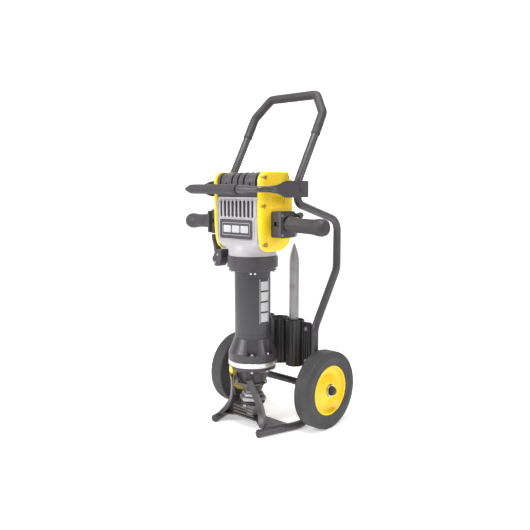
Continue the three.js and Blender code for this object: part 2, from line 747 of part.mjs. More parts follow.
function stator() {
  return turnedAboutX(ringProfile(27.5, 43, -64, -4), 24).translate(0, 0, MOTOR_Z);
}

function armature() {
  const core = turnedAboutX([
    [0, -80], [6, -80], [6, -78.5], [14, -78.5], [14, -66], [8, -66], [8, -60], [26, -60], [26, -6],
    [8, -6], [8, 10], [6, 13], [6, 44], [0, 44],
  ], 20);
  const { gearX, gearWidth } = CRANK;
  const step = (2 * Math.PI) / GEAR.pinion;
  // A tooth space of the pinion faces straight down, onto a tooth of the crank gear.
  const pinion = toothedDisc(GEAR.pinion, gearX, gearX + gearWidth, -Math.PI / 2 + step / 2);
  return join(core, pinion).translate(0, 0, MOTOR_Z);
}

function fan() {
  const hub = turnedAboutX(ringProfile(6.4, 14, 30, 42), 16);
  const disc = turnedAboutX(ringProfile(10, 38, 30, 32), 24);
  const blades = Array.from({ length: 8 }, (_, i) =>
    box([31, 12, -1.2], [41, 37, 1.2]).rotateX((i * Math.PI) / 4),
  );
  return join(hub, disc, ...blades).translate(0, 0, MOTOR_Z);
}

function crankGear() {
  const { gearX, gearWidth, pinR } = CRANK;
  const gear = toothedDisc(GEAR.wheel, gearX, gearX + gearWidth, Math.PI / 2);
  const shaft = rod("x", 10, gearX + 2, 89, [0, 0]);
  const pin = rod("x", pinR, -8, gearX + 2, [0, -CRANK.throw]);
  return join(gear, shaft, pin).translate(0, 0, CRANK.z);
}

function connectingRod() {
  const pinZ = CRANK.z - CRANK.throw;
  const smallZ = pinZ - 90;
  const big = rod("x", 14, -6.5, 6.5, [0, pinZ], 24);
  const small = rod("x", 11, -6.5, 6.5, [0, smallZ], 20);
  const web = box([-5, -7, smallZ], [5, 7, pinZ]);
  return cut(
    join(big, small, web),
    rod("x", CRANK.pinR + 0.4, -8, 8, [0, pinZ]),
    rod("x", 6, -8, 8, [0, smallZ]),
  );
}

function piston() {
  return turned([[0, 486], [40.3, 486], [40.3, 574], [36, 574], [36, 508], [0, 508]]);
}

function ram() {
  return turned([[0, 396], [40.3, 396], [40.3, 446], [0, 446]]);
}

function striker() {
  const step = NOSE.flareTop + 0.4;
  return turned([[0, 150], [16.5, 150], [16.5, step], [37, step], [37, 340], [0, 340]]);
}

// ---------------------------------------------------------------- the whole, as a scene graph
const trolley = new THREE.Group();
const breaker = new THREE.Group();

function add(group, name, geometry, slot) {
  const mesh = new THREE.Mesh(closed(geometry), MATERIALS[slot]);
  mesh.name = name;
  group.add(mesh);
}

for (const [name, side] of [["left", -1], ["right", 1]]) {
  add(trolley, `${name}_side_tube`, sideTube(side), "frame");
  add(trolley, `${name}_foot_plug`, footPlug(side), "rubber");
  add(trolley, `${name}_axle_nut`, axleNut(side), "frame");
  add(trolley, `${name}_cradle_plate`, cradlePlate(side), "frame");
  add(trolley, `${name}_bail_bolt`, bailBolt(side), "steel");
  add(trolley, `${name}_tyre`, tyre(side), "tyre");
  add(trolley, `${name}_rim`, rim(side), "yellow");
  add(trolley, `${name}_wheel_bush`, wheelBush(side), "plastic");
  add(breaker, `${name}_cover`, sideCover(side), "yellow");
  add(breaker, `${name}_handle_block`, handleBlock(side), "plastic");
  add(breaker, `${name}_handle_flange`, handleFlange(side), "plastic");
  add(breaker, `${name}_handle_core`, handleCore(side), "steel");
  add(breaker, `${name}_handle_grip`, handleRubber(side), "rubber");
}

add(trolley, "handle_loop", handleLoop(), "frame");
add(trolley, "handle_loop_grip", handleGrip(), "rubber");
add(trolley, "axle_tube", axleTube(), "frame");
add(trolley, "axle_rod", axleRod(), "steel");
add(trolley, "base_plate", basePlate(), "frame");
add(trolley, "cradle_socket", cradleSocket(), "frame");
add(trolley, "socket_bumper", socketBumper(), "rubber");
add(trolley, "chisel_holder", chiselHolder(), "plastic");
add(trolley, "spare_chisel", chisel(), "steel");
add(trolley, "bail_hoop", bailHoop(), "frame");
add(trolley, "bail_grip", bailGrip(), "rubber");

add(breaker, "motor_housing", motorHousing(), "casting");
add(breaker, "front_grille", frontGrille(), "casting");
add(breaker, "badge_plate", badgePlate(), "plastic");
add(breaker, "top_cap", topCap(), "plastic");
add(breaker, "switch_lever", switchLever(), "plastic");
add(breaker, "cord_inlet", cordInlet(), "plastic");
add(breaker, "cord_gland", cordGland(), "rubber");
add(breaker, "bearing_collar", bearingCollar(), "plastic");
add(breaker, "barrel", turned(ringProfile(BARREL.bore, BARREL.r, BARREL.bottom, BARREL.top)), "plastic");
add(breaker, "barrel_flange", barrelFlange(), "plastic");
add(breaker, "nose_ring", turned(ringProfile(30, 79.5, NOSE.ringBottom, NOSE.flareBottom - GAP)), "ring");
add(breaker, "nose_casting", noseCasting(), "plastic");
add(breaker, "chuck_collar", chuckCollar(), "steel");
add(breaker, "bit_retainer", bitRetainer(), "latch");

add(breaker, "stator", stator(), "copper");
add(breaker, "armature", armature(), "steel");
add(breaker, "fan", fan(), "plastic");
add(breaker, "crank_gear", crankGear(), "steel");
add(breaker, "connecting_rod", connectingRod(), "steel");
add(breaker, "cylinder_sleeve", turned(ringProfile(SLEEVE.bore, SLEEVE.r, SLEEVE.bottom, SLEEVE.top)), "steel");
add(breaker, "piston", piston(), "steel");
add(breaker, "ram", ram(), "steel");
add(breaker, "striker", striker(), "steel");

const root = new THREE.Group();
root.add(trolley, breaker);
const frontEdge = BAIL.frontY - BAIL.collarR;
const rearEdge = WHEEL.axleY + WHEEL.r;
root.position.y = -(frontEdge + rearEdge) / 2;

export default root;
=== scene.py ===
"""The looks of the electric breaker hammer on its trolley.

Shapes are drawn in millimetres about the breaker's own axis (x = 0, y = 0, ground at z = 0, front at -Y)
and are put into the frame's metres by place().
"""
import math

import bpy
from mathutils import Matrix, Vector


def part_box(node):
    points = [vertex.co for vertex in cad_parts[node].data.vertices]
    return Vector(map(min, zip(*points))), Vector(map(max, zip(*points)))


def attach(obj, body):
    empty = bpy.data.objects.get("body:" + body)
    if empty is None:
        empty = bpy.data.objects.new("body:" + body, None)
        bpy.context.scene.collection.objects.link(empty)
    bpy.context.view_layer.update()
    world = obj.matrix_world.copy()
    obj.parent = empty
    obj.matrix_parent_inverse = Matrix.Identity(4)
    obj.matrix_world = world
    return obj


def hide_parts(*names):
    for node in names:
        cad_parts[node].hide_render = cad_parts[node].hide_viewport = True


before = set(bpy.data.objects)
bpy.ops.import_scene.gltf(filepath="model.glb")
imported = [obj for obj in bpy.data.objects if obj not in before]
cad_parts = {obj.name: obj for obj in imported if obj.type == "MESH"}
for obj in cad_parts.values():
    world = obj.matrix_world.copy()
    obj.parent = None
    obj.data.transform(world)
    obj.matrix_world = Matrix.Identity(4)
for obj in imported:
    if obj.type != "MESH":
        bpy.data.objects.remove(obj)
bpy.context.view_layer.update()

MM = 0.001
barrel_low, barrel_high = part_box("barrel")
AXIS_Y = (barrel_low.y + barrel_high.y) / 2


def top_of(node):
    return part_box(node)[1].z / MM


def bottom_of(node):
    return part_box(node)[0].z / MM


def span_of(node):
    return bottom_of(node), top_of(node)


def inner_of(node):
    """The smallest x of a node on the right side."""
    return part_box(node)[0].x / MM


def place(x, y, z):
    return Vector((x * MM, y * MM + AXIS_Y, z * MM))


def add_object(name, data):
    obj = bpy.data.objects.new(name, data)
    bpy.context.scene.collection.objects.link(obj)
    return obj



# ---- camera, light and floor
VIEW_AZIMUTH = 43.0
VIEW_DOWN = 7.1
CAMERA_AT = (1415.2, -1458.9, 782.7)
LENS_MM = 43.13
WORLD_STRENGTH = 0.22
LIGHTS_AIM = (0, 0, 500)
WHITE = (0.93, 0.93, 0.93)
FLOOR_HALF = 30.0  # metres, as the three below
BACKDROP_AWAY = 9
BACKDROP_HALF = 16
BACKDROP_HEIGHT = 14
FLOOR_GLOW = 0.40
BACKDROP_GLOW = 0.85


def make_camera():
    data = bpy.data.cameras.new("camera")
    data.lens = LENS_MM
    data.sensor_width = 36
    camera = add_object("camera", data)
    camera.location = place(*CAMERA_AT)
    camera.rotation_euler = (math.radians(90 - VIEW_DOWN), 0, math.radians(VIEW_AZIMUTH))
    bpy.context.scene.camera = camera


def area_light(name, at, size, watts):
    data = bpy.data.lights.new(name, "AREA")
    data.size = size
    data.energy = watts
    light = add_object(name, data)
    light.location = place(*at)
    aim = place(*LIGHTS_AIM) - light.location
    light.rotation_euler = aim.to_track_quat("-Z", "Y").to_euler()


def pale_sheet(name, corners, color, glow=0.0):
    material = bpy.data.materials.new(name)
    material.use_nodes = True
    shader = material.node_tree.nodes["Principled BSDF"]
    shader.inputs["Base Color"].default_value = (*color, 1)
    shader.inputs["Roughness"].default_value = 0.9
    shader.inputs["Emission Color"].default_value = (1, 1, 1, 1)
    shader.inputs["Emission Strength"].default_value = glow
    mesh = bpy.data.meshes.new(name)
    mesh.from_pydata(corners, [], [(0, 1, 2, 3)])
    mesh.materials.append(material)
    add_object(name, mesh)


def make_light_and_floor():
    world = bpy.data.worlds.new("studio")
    world.use_nodes = True
    background = world.node_tree.nodes["Background"]
    background.inputs["Color"].default_value = (1, 1, 1, 1)
    background.inputs["Strength"].default_value = WORLD_STRENGTH
    bpy.context.scene.world = world
    bpy.context.scene.view_settings.view_transform = "Standard"
    area_light("left_softbox", (-900, -2000, 1500), 0.9, 36)
    area_light("right_softbox", (2100, 500, 1300), 0.7, 15)
    area_light("top_softbox", (300, -500, 2600), 1.2, 58)
    half = FLOOR_HALF
    corners = [(-half, -half, 0), (half, -half, 0), (half, half, 0), (-half, half, 0)]
    pale_sheet("floor", corners, WHITE, FLOOR_GLOW)
    turn = math.radians(VIEW_AZIMUTH)
    away = Vector((-math.sin(turn), math.cos(turn), 0))
    across = Vector((away.y, -away.x, 0))
    left = away * BACKDROP_AWAY - across * BACKDROP_HALF
    right = away * BACKDROP_AWAY + across * BACKDROP_HALF
    height = Vector((0, 0, BACKDROP_HEIGHT))
    pale_sheet("backdrop", [left, right, right + height, left + height], WHITE, BACKDROP_GLOW)


# ---- materials
def tinted(color, gain, lift=0.0):
    return tuple(min(1, c * gain + lift) for c in color)


class Finish:
    """A Principled material, built up from noise in the object's own coordinates (metres)."""

    def __init__(self, name, color, roughness, metallic=0.0):
        self.material = bpy.data.materials.new(name)
        self.material.use_nodes = True
        self.tree = self.material.node_tree
        self.shader = self.tree.nodes["Principled BSDF"]
        self.feed(self.shader, "Base Color", (*color, 1))
        self.feed(self.shader, "Roughness", roughness)
        self.feed(self.shader, "Metallic", metallic)
        self.coordinates = self.tree.nodes.new("ShaderNodeTexCoord").outputs["Object"]
        self.color = color
        self.normal = None

    def feed(self, node, entry, value):
        """Links a socket to one of a node's inputs, or sets a constant on it."""
        if isinstance(value, bpy.types.NodeSocket):
            self.tree.links.new(value, node.inputs[entry])
        else:
            node.inputs[entry].default_value = value

    def node(self, kind, entries, **settings):
        made = self.tree.nodes.new(kind)
        for setting, value in settings.items():
            setattr(made, setting, value)
        for entry, value in entries.items():
            self.feed(made, entry, value)
        return made

    def noise(self, scale, detail=4.0, stretch=(1, 1, 1)):
        spread = self.node("ShaderNodeMapping", {"Vector": self.coordinates, "Scale": stretch})
        entries = {"Vector": spread.outputs[0], "Scale": scale, "Detail": detail}
        return self.node("ShaderNodeTexNoise", entries).outputs["Fac"]

    def cells(self, scale):
        entries = {"Vector": self.coordinates, "Scale": scale}
        return self.node("ShaderNodeTexVoronoi", entries).outputs["Distance"]

    def between(self, value, low, high, to_low=0.0, to_high=1.0):
        entries = {"Value": value, "From Min": low, "From Max": high, "To Min": to_low, "To Max": to_high}
        return self.node("ShaderNodeMapRange", entries).outputs["Result"]

    def times(self, a, b):
        return self.node("ShaderNodeMath", {0: a, 1: b}, operation="MULTIPLY").outputs[0]

    def paint(self, share, first, second):
        """Makes the base colour a mix of two colours."""
        made = self.node("ShaderNodeMix", {"Factor": share, "A": first, "B": second}, data_type="RGBA")
        self.base = made.outputs["Result"]
        self.feed(self.shader, "Base Color", self.base)

    def tones(self, spread, scale=6.0):
        """Slow variation of the colour, darker and lighter by spread."""
        share = self.between(self.noise(scale, 5), 0.35, 0.65)
        self.paint(share, (*tinted(self.color, 1 - spread), 1), (*tinted(self.color, 1 + spread), 1))

    def worn_edges(self, color, amount, radius=1.6):
        """Rubbed edges: where a rounded normal leaves the true one, broken up by noise."""
        rounded = self.node("ShaderNodeBevel", {"Radius": radius * MM}, samples=6).outputs[0]
        true_normal = self.tree.nodes.new("ShaderNodeNewGeometry").outputs["Normal"]
        dot = self.node("ShaderNodeVectorMath", {0: rounded, 1: true_normal}, operation="DOT_PRODUCT")
        edge = self.between(dot.outputs["Value"], 0.995, 0.86)
        broken = self.between(self.noise(90, 6), 0.42, 0.66)
        self.paint(self.times(self.times(edge, broken), amount), self.base, (*color, 1))

    def dusty(self, color, amount, scale=22):
        """A thin uneven film of dust."""
        share = self.between(self.noise(scale, 8), 0.5, 0.78, 0, amount)
        self.paint(share, self.base, (*color, 1))

    def uneven_gloss(self, low, high, scale=14):
        self.feed(self.shader, "Roughness", self.between(self.noise(scale, 6), 0.3, 0.7, low, high))

    def relief(self, height, strength, depth_mm):
        """Another layer of bump on top of those before it."""
        entries = {"Strength": strength, "Distance": depth_mm * MM, "Height": height}
        if self.normal:
            entries["Normal"] = self.normal
        self.normal = self.node("ShaderNodeBump", entries).outputs["Normal"]
        self.feed(self.shader, "Normal", self.normal)


def powder_coat():
    f = Finish("charcoal_powder_coat", (0.054, 0.050, 0.055), 0.34)
    f.tones(0.13, 5)
    f.worn_edges((0.16, 0.155, 0.16), 0.45, 1.2)
    f.dusty((0.10, 0.096, 0.10), 0.22)
    f.uneven_gloss(0.28, 0.42)
    f.relief(f.noise(620, 3), 0.22, 0.25)
    return f.material


def moulded(name, color, low, high):
    f = Finish(name, color, 0.5)
    f.tones(0.10, 7)
    f.worn_edges(tinted(color, 2.1, 0.03), 0.35, 1.0)
    f.dusty(tinted(color, 1.6, 0.02), 0.3)
    f.uneven_gloss(low, high)
    f.relief(f.cells(1500), 0.25, 0.12)
    f.relief(f.noise(60, 3), 0.05, 0.5)
    return f.material


def yellow_plastic(name, color):
    f = Finish(name, color, 0.34)
    f.tones(0.045, 4)
    f.worn_edges((0.98, 0.80, 0.20), 0.35, 1.2)
    f.dusty((0.60, 0.40, 0.06), 0.16, 30)
    f.uneven_gloss(0.28, 0.44)
    f.relief(f.noise(900, 2), 0.10, 0.12)
    f.relief(f.noise(40, 3), 0.05, 0.6)
    f.feed(f.shader, "Coat Weight", 0.15)
    f.feed(f.shader, "Coat Roughness", 0.25)
    return f.material


def painted_casting(name, color, metallic, low, high):
    f = Finish(name, color, 0.45, metallic)
    f.tones(0.06, 6)
    f.worn_edges(tinted(color, 1.5, 0.04), 0.5, 1.4)
    f.dusty(tinted(color, 0.72), 0.3)
    f.uneven_gloss(low, high)
    f.relief(f.noise(480, 5), 0.28, 0.3)
    f.relief(f.noise(70, 4), 0.08, 0.8)
    return f.material


def turned_metal(name, color, low, high, stretch=(30, 30, 3000)):
    f = Finish(name, color, 0.3, 1.0)
    f.tones(0.08, 9)
    f.uneven_gloss(low, high, 30)
    f.relief(f.noise(1, 3, stretch), 0.30, 0.10)
    f.relief(f.noise(300, 4), 0.06, 0.2)
    return f.material


def rubber(name, color, pattern, strength):
    f = Finish(name, color, 0.62)
    f.tones(0.12, 8)
    f.worn_edges(tinted(color, 1.7), 0.4, 1.5)
    f.dusty(tinted(color, 1.7, 0.015), 0.35)
    f.uneven_gloss(0.5, 0.7)
    f.relief(f.cells(pattern), strength, 0.25)
    f.relief(f.noise(200, 4), 0.1, 0.3)
    return f.material


def forged_steel(name, color, low, high):
    f = Finish(name, color, 0.4, 0.85)
    f.tones(0.12, 16)
    f.worn_edges(tinted(color, 1.9), 0.6, 1.0)
    f.dusty(tinted(color, 0.55), 0.45, 40)
    f.uneven_gloss(low, high, 40)
    f.relief(f.noise(160, 7), 0.35, 0.35)
    f.relief(f.noise(900, 3), 0.12, 0.1)
    return f.material


COAT = powder_coat()
BLACK = moulded("black_moulded_plastic", (0.055, 0.051, 0.056), 0.38, 0.55)
DARK = moulded("darker_moulded_plastic", (0.028, 0.027, 0.029), 0.4, 0.55)
BARREL_PAINT = painted_casting("barrel_paint", (0.048, 0.046, 0.051), 0.0, 0.32, 0.45)
BLACK_CASTING = painted_casting("black_casting", (0.050, 0.046, 0.051), 0.0, 0.30, 0.44)
GREY_CASTING = painted_casting("silver_grey_casting", (0.46, 0.44, 0.46), 0.15, 0.42, 0.54)
YELLOW = yellow_plastic("yellow_cover", (0.98, 0.66, 0.014))
RIM_YELLOW = yellow_plastic("yellow_rim", (0.98, 0.66, 0.004))
BRIGHT_RING = turned_metal("bright_turned_aluminium", (0.74, 0.73, 0.75), 0.34, 0.46)
MACHINED = turned_metal("machined_steel", (0.50, 0.49, 0.50), 0.22, 0.36, (40, 40, 1500))
ZINC = forged_steel("zinc_plated_screws", (0.55, 0.54, 0.55), 0.2, 0.36)
CHISEL_STEEL = forged_steel("chisel_steel", (0.38, 0.37, 0.38), 0.36, 0.5)
LATCH_STEEL = forged_steel("bronzed_latch_steel", (0.15, 0.125, 0.112), 0.36, 0.5)
GRIP = rubber("grip_rubber", (0.034, 0.031, 0.034), 1100, 0.35)
TYRE = rubber("tyre_rubber", (0.040, 0.038, 0.041), 500, 0.12)
LAMINATIONS = turned_metal("motor_laminations", (0.42, 0.30, 0.2), 0.3, 0.45, (3000, 30, 30))
PALE_MARK = moulded("pale_mark", (0.52, 0.52, 0.53), 0.4, 0.5)


# ---- shapes: (vertices in mm, faces)
def joined(*parts):
    vertices, faces = [], []
    for more_vertices, more_faces in parts:
        start = len(vertices)
        vertices += more_vertices
        faces += [tuple(i + start for i in face) for face in more_faces]
    return vertices, faces


def moved(part, matrix):
    vertices, faces = part
    return [matrix @ Vector(v) for v in vertices], faces


def shifted(part, x, y, z):
    return moved(part, Matrix.Translation((x, y, z)))


def spun(part, angle):
    """Turned about the breaker's axis."""
    return moved(part, Matrix.Rotation(angle, 4, "Z"))


def mirrored(part):
    vertices, faces = part
    return [Vector((-v[0], v[1], v[2])) for v in vertices], [tuple(reversed(face)) for face in faces]


def sided(part, side):
    return part if side > 0 else mirrored(part)


def whole_turn(count):
    return [2 * math.pi * k / count for k in range(count)]


def around(count, first_degrees):
    return [math.radians(first_degrees + 360 * k / count) for k in range(count)]


def spun_point(x, y, z, angle):
    return Matrix.Rotation(angle, 4, "Z") @ Vector((x, y, z))


def polar(r, angle, z=0.0):
    return Vector((r * math.cos(angle), r * math.sin(angle), z))


def facing(direction):
    """The turn that takes +Z to a direction."""
    return Vector((0, 0, 1)).rotation_difference(Vector(direction)).to_matrix().to_4x4()


def softened(points, radius, closed=False, steps=4):
    """The same outline or profile with its corners rounded. Points are (a, b) or (a, b, own radius)."""
    result = []
    count = len(points)
    for i, point in enumerate(points):
        here = Vector(point[:2])
        own = point[2] if len(point) > 2 else radius
        if own == 0 or (not closed and i in (0, count - 1)):
            result.append(here)
            continue
        before = Vector(points[i - 1][:2])
        after = Vector(points[(i + 1) % count][:2])
        into, out = here - before, after - here
        if into.length < 1e-6 or out.length < 1e-6:
            continue
        turn = into.angle(out)
        if turn < math.radians(3):
            result.append(here)
            continue
        reach = min(own * math.tan(turn / 2), 0.49 * into.length, 0.49 * out.length)
        start, end = here - into.normalized() * reach, here + out.normalized() * reach
        for k in range(steps + 1):
            t = k / steps
            result.append(start * (1 - t) ** 2 + here * 2 * t * (1 - t) + end * t ** 2)
    return [(p.x, p.y) for p in result]


def lathe(profile, sides=96, closed=False):
    """A profile of (radius, height) turned about +Z. Ends off the axis stay open unless closed."""
    vertices, rings = [], []
    for r, h in profile:
        if r < 1e-6:
            rings.append([len(vertices)] * sides)
            vertices.append(Vector((0, 0, h)))
            continue
        rings.append(list(range(len(vertices), len(vertices) + sides)))
        vertices += [polar(r, angle, h) for angle in whole_turn(sides)]
    pairs = list(zip(rings, rings[1:]))
    if closed:
        pairs.append((rings[-1], rings[0]))
    faces = []
    for low, high in pairs:
        for k in range(sides):
            n = (k + 1) % sides
            face = tuple(dict.fromkeys((low[k], low[n], high[n], high[k])))
            if len(face) > 2:
                faces.append(face)
    return vertices, faces


def turned(profile, soft, sides, steps=4):
    """A closed profile with softened corners, turned about +Z."""
    return lathe(softened(profile, soft, closed=True, steps=steps), sides, closed=True)


def ring(bore, r, bottom, top, soft=1.0, sides=96):
    return turned([(bore, bottom), (r, bottom), (r, top), (bore, top)], soft, sides)


def disc(r, bottom, top, soft=1.0, sides=64):
    return lathe(softened([(0, bottom), (r, bottom), (r, top), (0, top)], soft), sides)


def ball(centre, r):
    profile = [(r * math.sin(math.pi * k / 6), -r * math.cos(math.pi * k / 6)) for k in range(7)]
    profile[0], profile[-1] = (0, -r), (0, r)
    return shifted(lathe(profile, 10), *centre)


TO_X = Matrix.Rotation(math.radians(90), 4, "Y")


def along_x(part, y=0, z=0):
    return moved(part, Matrix.Translation((0, y, z)) @ TO_X)


def prism(points, low, high, axis="z"):
    """An outline given depth along an axis. It is drawn in the other two axes, in their order in X, Y, Z."""
    area = sum(a[0] * b[1] - b[0] * a[1] for a, b in zip(points, points[1:] + points[:1]))
    if area < 0:
        points = points[::-1]

    def spot(a, b, c):
        return Vector({"z": (a, b, c), "x": (c, a, b), "y": (a, c, b)}[axis])

    count = len(points)
    vertices = [spot(a, b, low) for a, b in points] + [spot(a, b, high) for a, b in points]
    faces = [tuple(range(count - 1, -1, -1)), tuple(range(count, 2 * count))]
    faces += [(i, (i + 1) % count, (i + 1) % count + count, i + count) for i in range(count)]
    if axis == "y":
        faces = [tuple(reversed(face)) for face in faces]
    return vertices, faces


def slab(points, soft, low, high, axis="z", steps=4):
    """A prism with the corners of its outline softened."""
    return prism(softened(points, soft, closed=True, steps=steps), low, high, axis)


def rectangle(a0, b0, a1, b1, radius=0, steps=5):
    return softened([(a0, b0), (a1, b0), (a1, b1), (a0, b1)], radius, closed=True, steps=steps)


def plank(box, radius, low, high, axis="z", steps=5):
    """A prism on a rectangle with rounded corners."""
    return prism(rectangle(*box, radius, steps), low, high, axis)


def block(low, high):
    return prism(rectangle(low[0], low[1], high[0], high[1]), low[2], high[2])


def quadratic(a, b, c, count=8):
    a, b, c = Vector(a), Vector(b), Vector(c)
    shares = [k / count for k in range(count + 1)]
    return [tuple(a * (1 - t) ** 2 + b * 2 * t * (1 - t) + c * t * t) for t in shares]


def lofted(rings, capped=True):
    """Rings of equal length joined in order."""
    sides = len(rings[0])
    vertices = [Vector(p) for one in rings for p in one]
    faces = []
    for i in range(len(rings) - 1):
        for k in range(sides):
            n = (k + 1) % sides
            faces.append((i * sides + k, i * sides + n, (i + 1) * sides + n, (i + 1) * sides + k))
    if capped:
        faces.append(tuple(range(sides - 1, -1, -1)))
        faces.append(tuple(range((len(rings) - 1) * sides, len(rings) * sides)))
    return vertices, faces


def bent_path(corners, step_degrees=6):
    """Stations along straight stretches between corners of (x, y, z, bend radius)."""
    points = [Vector(c[:3]) for c in corners]
    stations = [points[0]]
    for i in range(1, len(points) - 1):
        into = (points[i] - points[i - 1]).normalized()
        out = (points[i + 1] - points[i]).normalized()
        turn = into.angle(out)
        radius = corners[i][3]
        start = points[i] - into * radius * math.tan(turn / 2)
        centre = points[i] + (out - into).normalized() * radius / math.cos(turn / 2)
        axis = into.cross(out).normalized()
        steps = max(3, round(math.degrees(turn) / step_degrees))
        for k in range(steps + 1):
            stations.append(Matrix.Rotation(turn * k / steps, 3, axis) @ (start - centre) + centre)
    stations.append(points[-1])
    return stations


def resampled(stations, longest):
    result = [stations[0]]
    for a, b in zip(stations, stations[1:]):
        pieces = max(1, math.ceil((b - a).length / longest))
        result += [a.lerp(b, k / pieces) for k in range(1, pieces + 1)]
    return result


def tube(stations, radius, sides=28):
    """A round bar along stations. radius is a number or a function of the length so far and in all."""
    total = sum((b - a).length for a, b in zip(stations, stations[1:]))
    tangents = []
    for i in range(len(stations)):
        before, after = stations[max(i - 1, 0)], stations[min(i + 1, len(stations) - 1)]
        tangents.append((after - before).normalized())
    normal = tangents[0].orthogonal().normalized()
    rings, gone = [], 0.0
    for i, (at, tangent) in enumerate(zip(stations, tangents)):
        if i:
            gone += (at - stations[i - 1]).length
            normal = (normal - tangent * normal.dot(tangent)).normalized()
        across = tangent.cross(normal)
        r = radius(gone, total) if callable(radius) else radius
        rings.append([at + (normal * math.cos(a) + across * math.sin(a)) * r for a in whole_turn(sides)])
    return lofted(rings)


def weld(centre, axis, r, bead_r=2.2, sides=56):
    """A rippled bead round a joint."""
    rings = []
    for angle in whole_turn(sides):
        size = bead_r * (1 + 0.18 * math.sin(angle * 17))
        out, up = polar(1, angle), Vector((0, 0, 1))
        rings.append([out * (r + size * math.cos(a)) + up * size * math.sin(a) for a in whole_turn(8)])
    return moved(lofted(rings + [rings[0]], capped=False), Matrix.Translation(centre) @ facing(axis))


def socket_screw(at, direction, r=4.0, height=4.0):
    """A cap screw's head with a hexagon recess, standing on a point."""
    soft = r * 0.12
    flat = r * 0.55 * math.cos(math.pi / 6)
    angles = whole_turn(36)

    def round_ring(radius, z):
        return [polar(radius, a, z) for a in angles]

    def key_ring(z, grow=1.0):
        return [polar(flat / math.cos((a % (math.pi / 3)) - math.pi / 6) * grow, a, z) for a in angles]

    rings = [
        round_ring(r, 0), round_ring(r, height - soft), round_ring(r - soft * 0.3, height - soft * 0.3),
        round_ring(r - soft, height), key_ring(height, 1.12), key_ring(height - soft),
        key_ring(height * 0.35),
    ]
    return moved(lofted(rings), Matrix.Translation(at) @ facing(direction))


def hex_head(at, direction, r=6.0, height=5.0):
    """A hexagon bolt head on a washer."""
    washer = ring(r * 0.4, r * 1.25, 0, height * 0.25, 0.4, 32)
    corners = [(r * math.cos(math.pi * k / 3), r * math.sin(math.pi * k / 3)) for k in range(6)]
    body = prism(corners, height * 0.25, height * 0.93)
    cap = disc(r * 0.82, height * 0.9, height * 1.02, 0.5, 32)
    return moved(joined(washer, body, cap), Matrix.Translation(at) @ facing(direction))


# ---- pieces
def piece(name, part, material, body, stands_for=(), bevel=0.0, sharp=32, cutters=(), crossing=False):
    """Makes an object from a part, cuts it, softens its edges, and gives it a body and a finish."""
    obj = new_object(name, part)
    for cutter in cutters:
        carve(obj, cutter, crossing)
    mesh = obj.data
    mesh.materials.clear()
    mesh.materials.append(material)
    mesh.polygons.foreach_set("use_smooth", [True] * len(mesh.polygons))
    mesh.set_sharp_from_angle(angle=math.radians(sharp))
    if bevel:
        edges = obj.modifiers.new("soft_edges", "BEVEL")
        edges.width = bevel * MM
        edges.segments = 3
        edges.limit_method = "ANGLE"
        edges.angle_limit = math.radians(sharp)
        mesh.set_sharp_from_angle(angle=math.radians(60))
    if stands_for:
        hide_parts(*stands_for)
    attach(obj, body)
    return obj


def new_object(name, part):
    mesh = bpy.data.meshes.new(name)
    mesh.from_pydata([place(*v) for v in part[0]], [], part[1])
    mesh.validate()
    return add_object(name, mesh)


def carve(obj, part, crossing):
    """Subtracts a part from the object's mesh. crossing says that the mesh's own parts overlap."""
    cutter = new_object("cutter", part)
    modifier = obj.modifiers.new("cut", "BOOLEAN")
    modifier.operation = "DIFFERENCE"
    modifier.solver = "EXACT"
    modifier.use_self = crossing
    modifier.object = cutter
    bpy.context.view_layer.update()
    evaluated = obj.evaluated_get(bpy.context.evaluated_depsgraph_get())
    result = bpy.data.meshes.new_from_object(evaluated)
    obj.modifiers.remove(modifier)
    obj.data = result
    bpy.data.objects.remove(cutter)


SIDES = (("left", -1), ("right", 1))

# ---- trolley: tubes
TUBE_R = 12.7
UPRIGHT_X = 149
AXLE_Y = (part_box("axle_rod")[0].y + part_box("axle_rod")[1].y) / 2 / MM - AXIS_Y / MM
WHEEL_R = top_of("left_tyre") / 2
REAR_Y = AXLE_Y + WHEEL_R - TUBE_R
HOOP_PIVOT_Y = 45
FOOT_X = 99
FOOT_Y = -80
GRIP_START = (129.2, 943)
LOOP_START = (139.2, 961)


def loop_corners(start):
    half = [(UPRIGHT_X, *start), (148.6, 167, 1013, 32), (99, 198, 1076, 22)]
    return half + [(-c[0], *c[1:]) for c in reversed(half)]


def make_frame_tubes():
    for name, side in SIDES:
        x = side * UPRIGHT_X
        corners = [
            (side * FOOT_X, FOOT_Y, TUBE_R), (side * 138, 52, TUBE_R, 60), (x, AXLE_Y, TUBE_R, 68),
            (x, AXLE_Y, 322, 60), (x, REAR_Y, 508, 60), (x, REAR_Y, 668, 45), (x, HOOP_PIVOT_Y, 729, 30),
            (x, HOOP_PIVOT_Y, 793, 60), (x, *LOOP_START),
        ]
        bar = tube(bent_path(corners), TUBE_R)
        seam = weld((side * (UPRIGHT_X - TUBE_R + 0.5), AXLE_Y, WHEEL_R), (1, 0, 0), 12.2)
        piece(f"{name}_frame_tube", joined(bar, seam), COAT, "trolley", [f"{name}_side_tube"], sharp=50)
        foot_plug(name, side)
    loop = tube(bent_path(loop_corners(LOOP_START)), TUBE_R)
    piece("handle_loop_tube", loop, COAT, "trolley", ["handle_loop"])


def foot_plug(name, side):
    direction = Vector((side * 39, 132, 0)).normalized()
    profile = [(0, -2.9), (8, -2.9), (8.6, -2.2), (12.3, -2.2), (12.3, 0), (9, 0), (9, 10), (0, 10)]
    spot = Matrix.Translation((side * FOOT_X, FOOT_Y, TUBE_R)) @ facing(direction)
    plug = moved(lathe(softened(profile, 0.6), 48), spot)
    piece(f"{name}_foot_cap", plug, GRIP, "trolley", [f"{name}_foot_plug"])


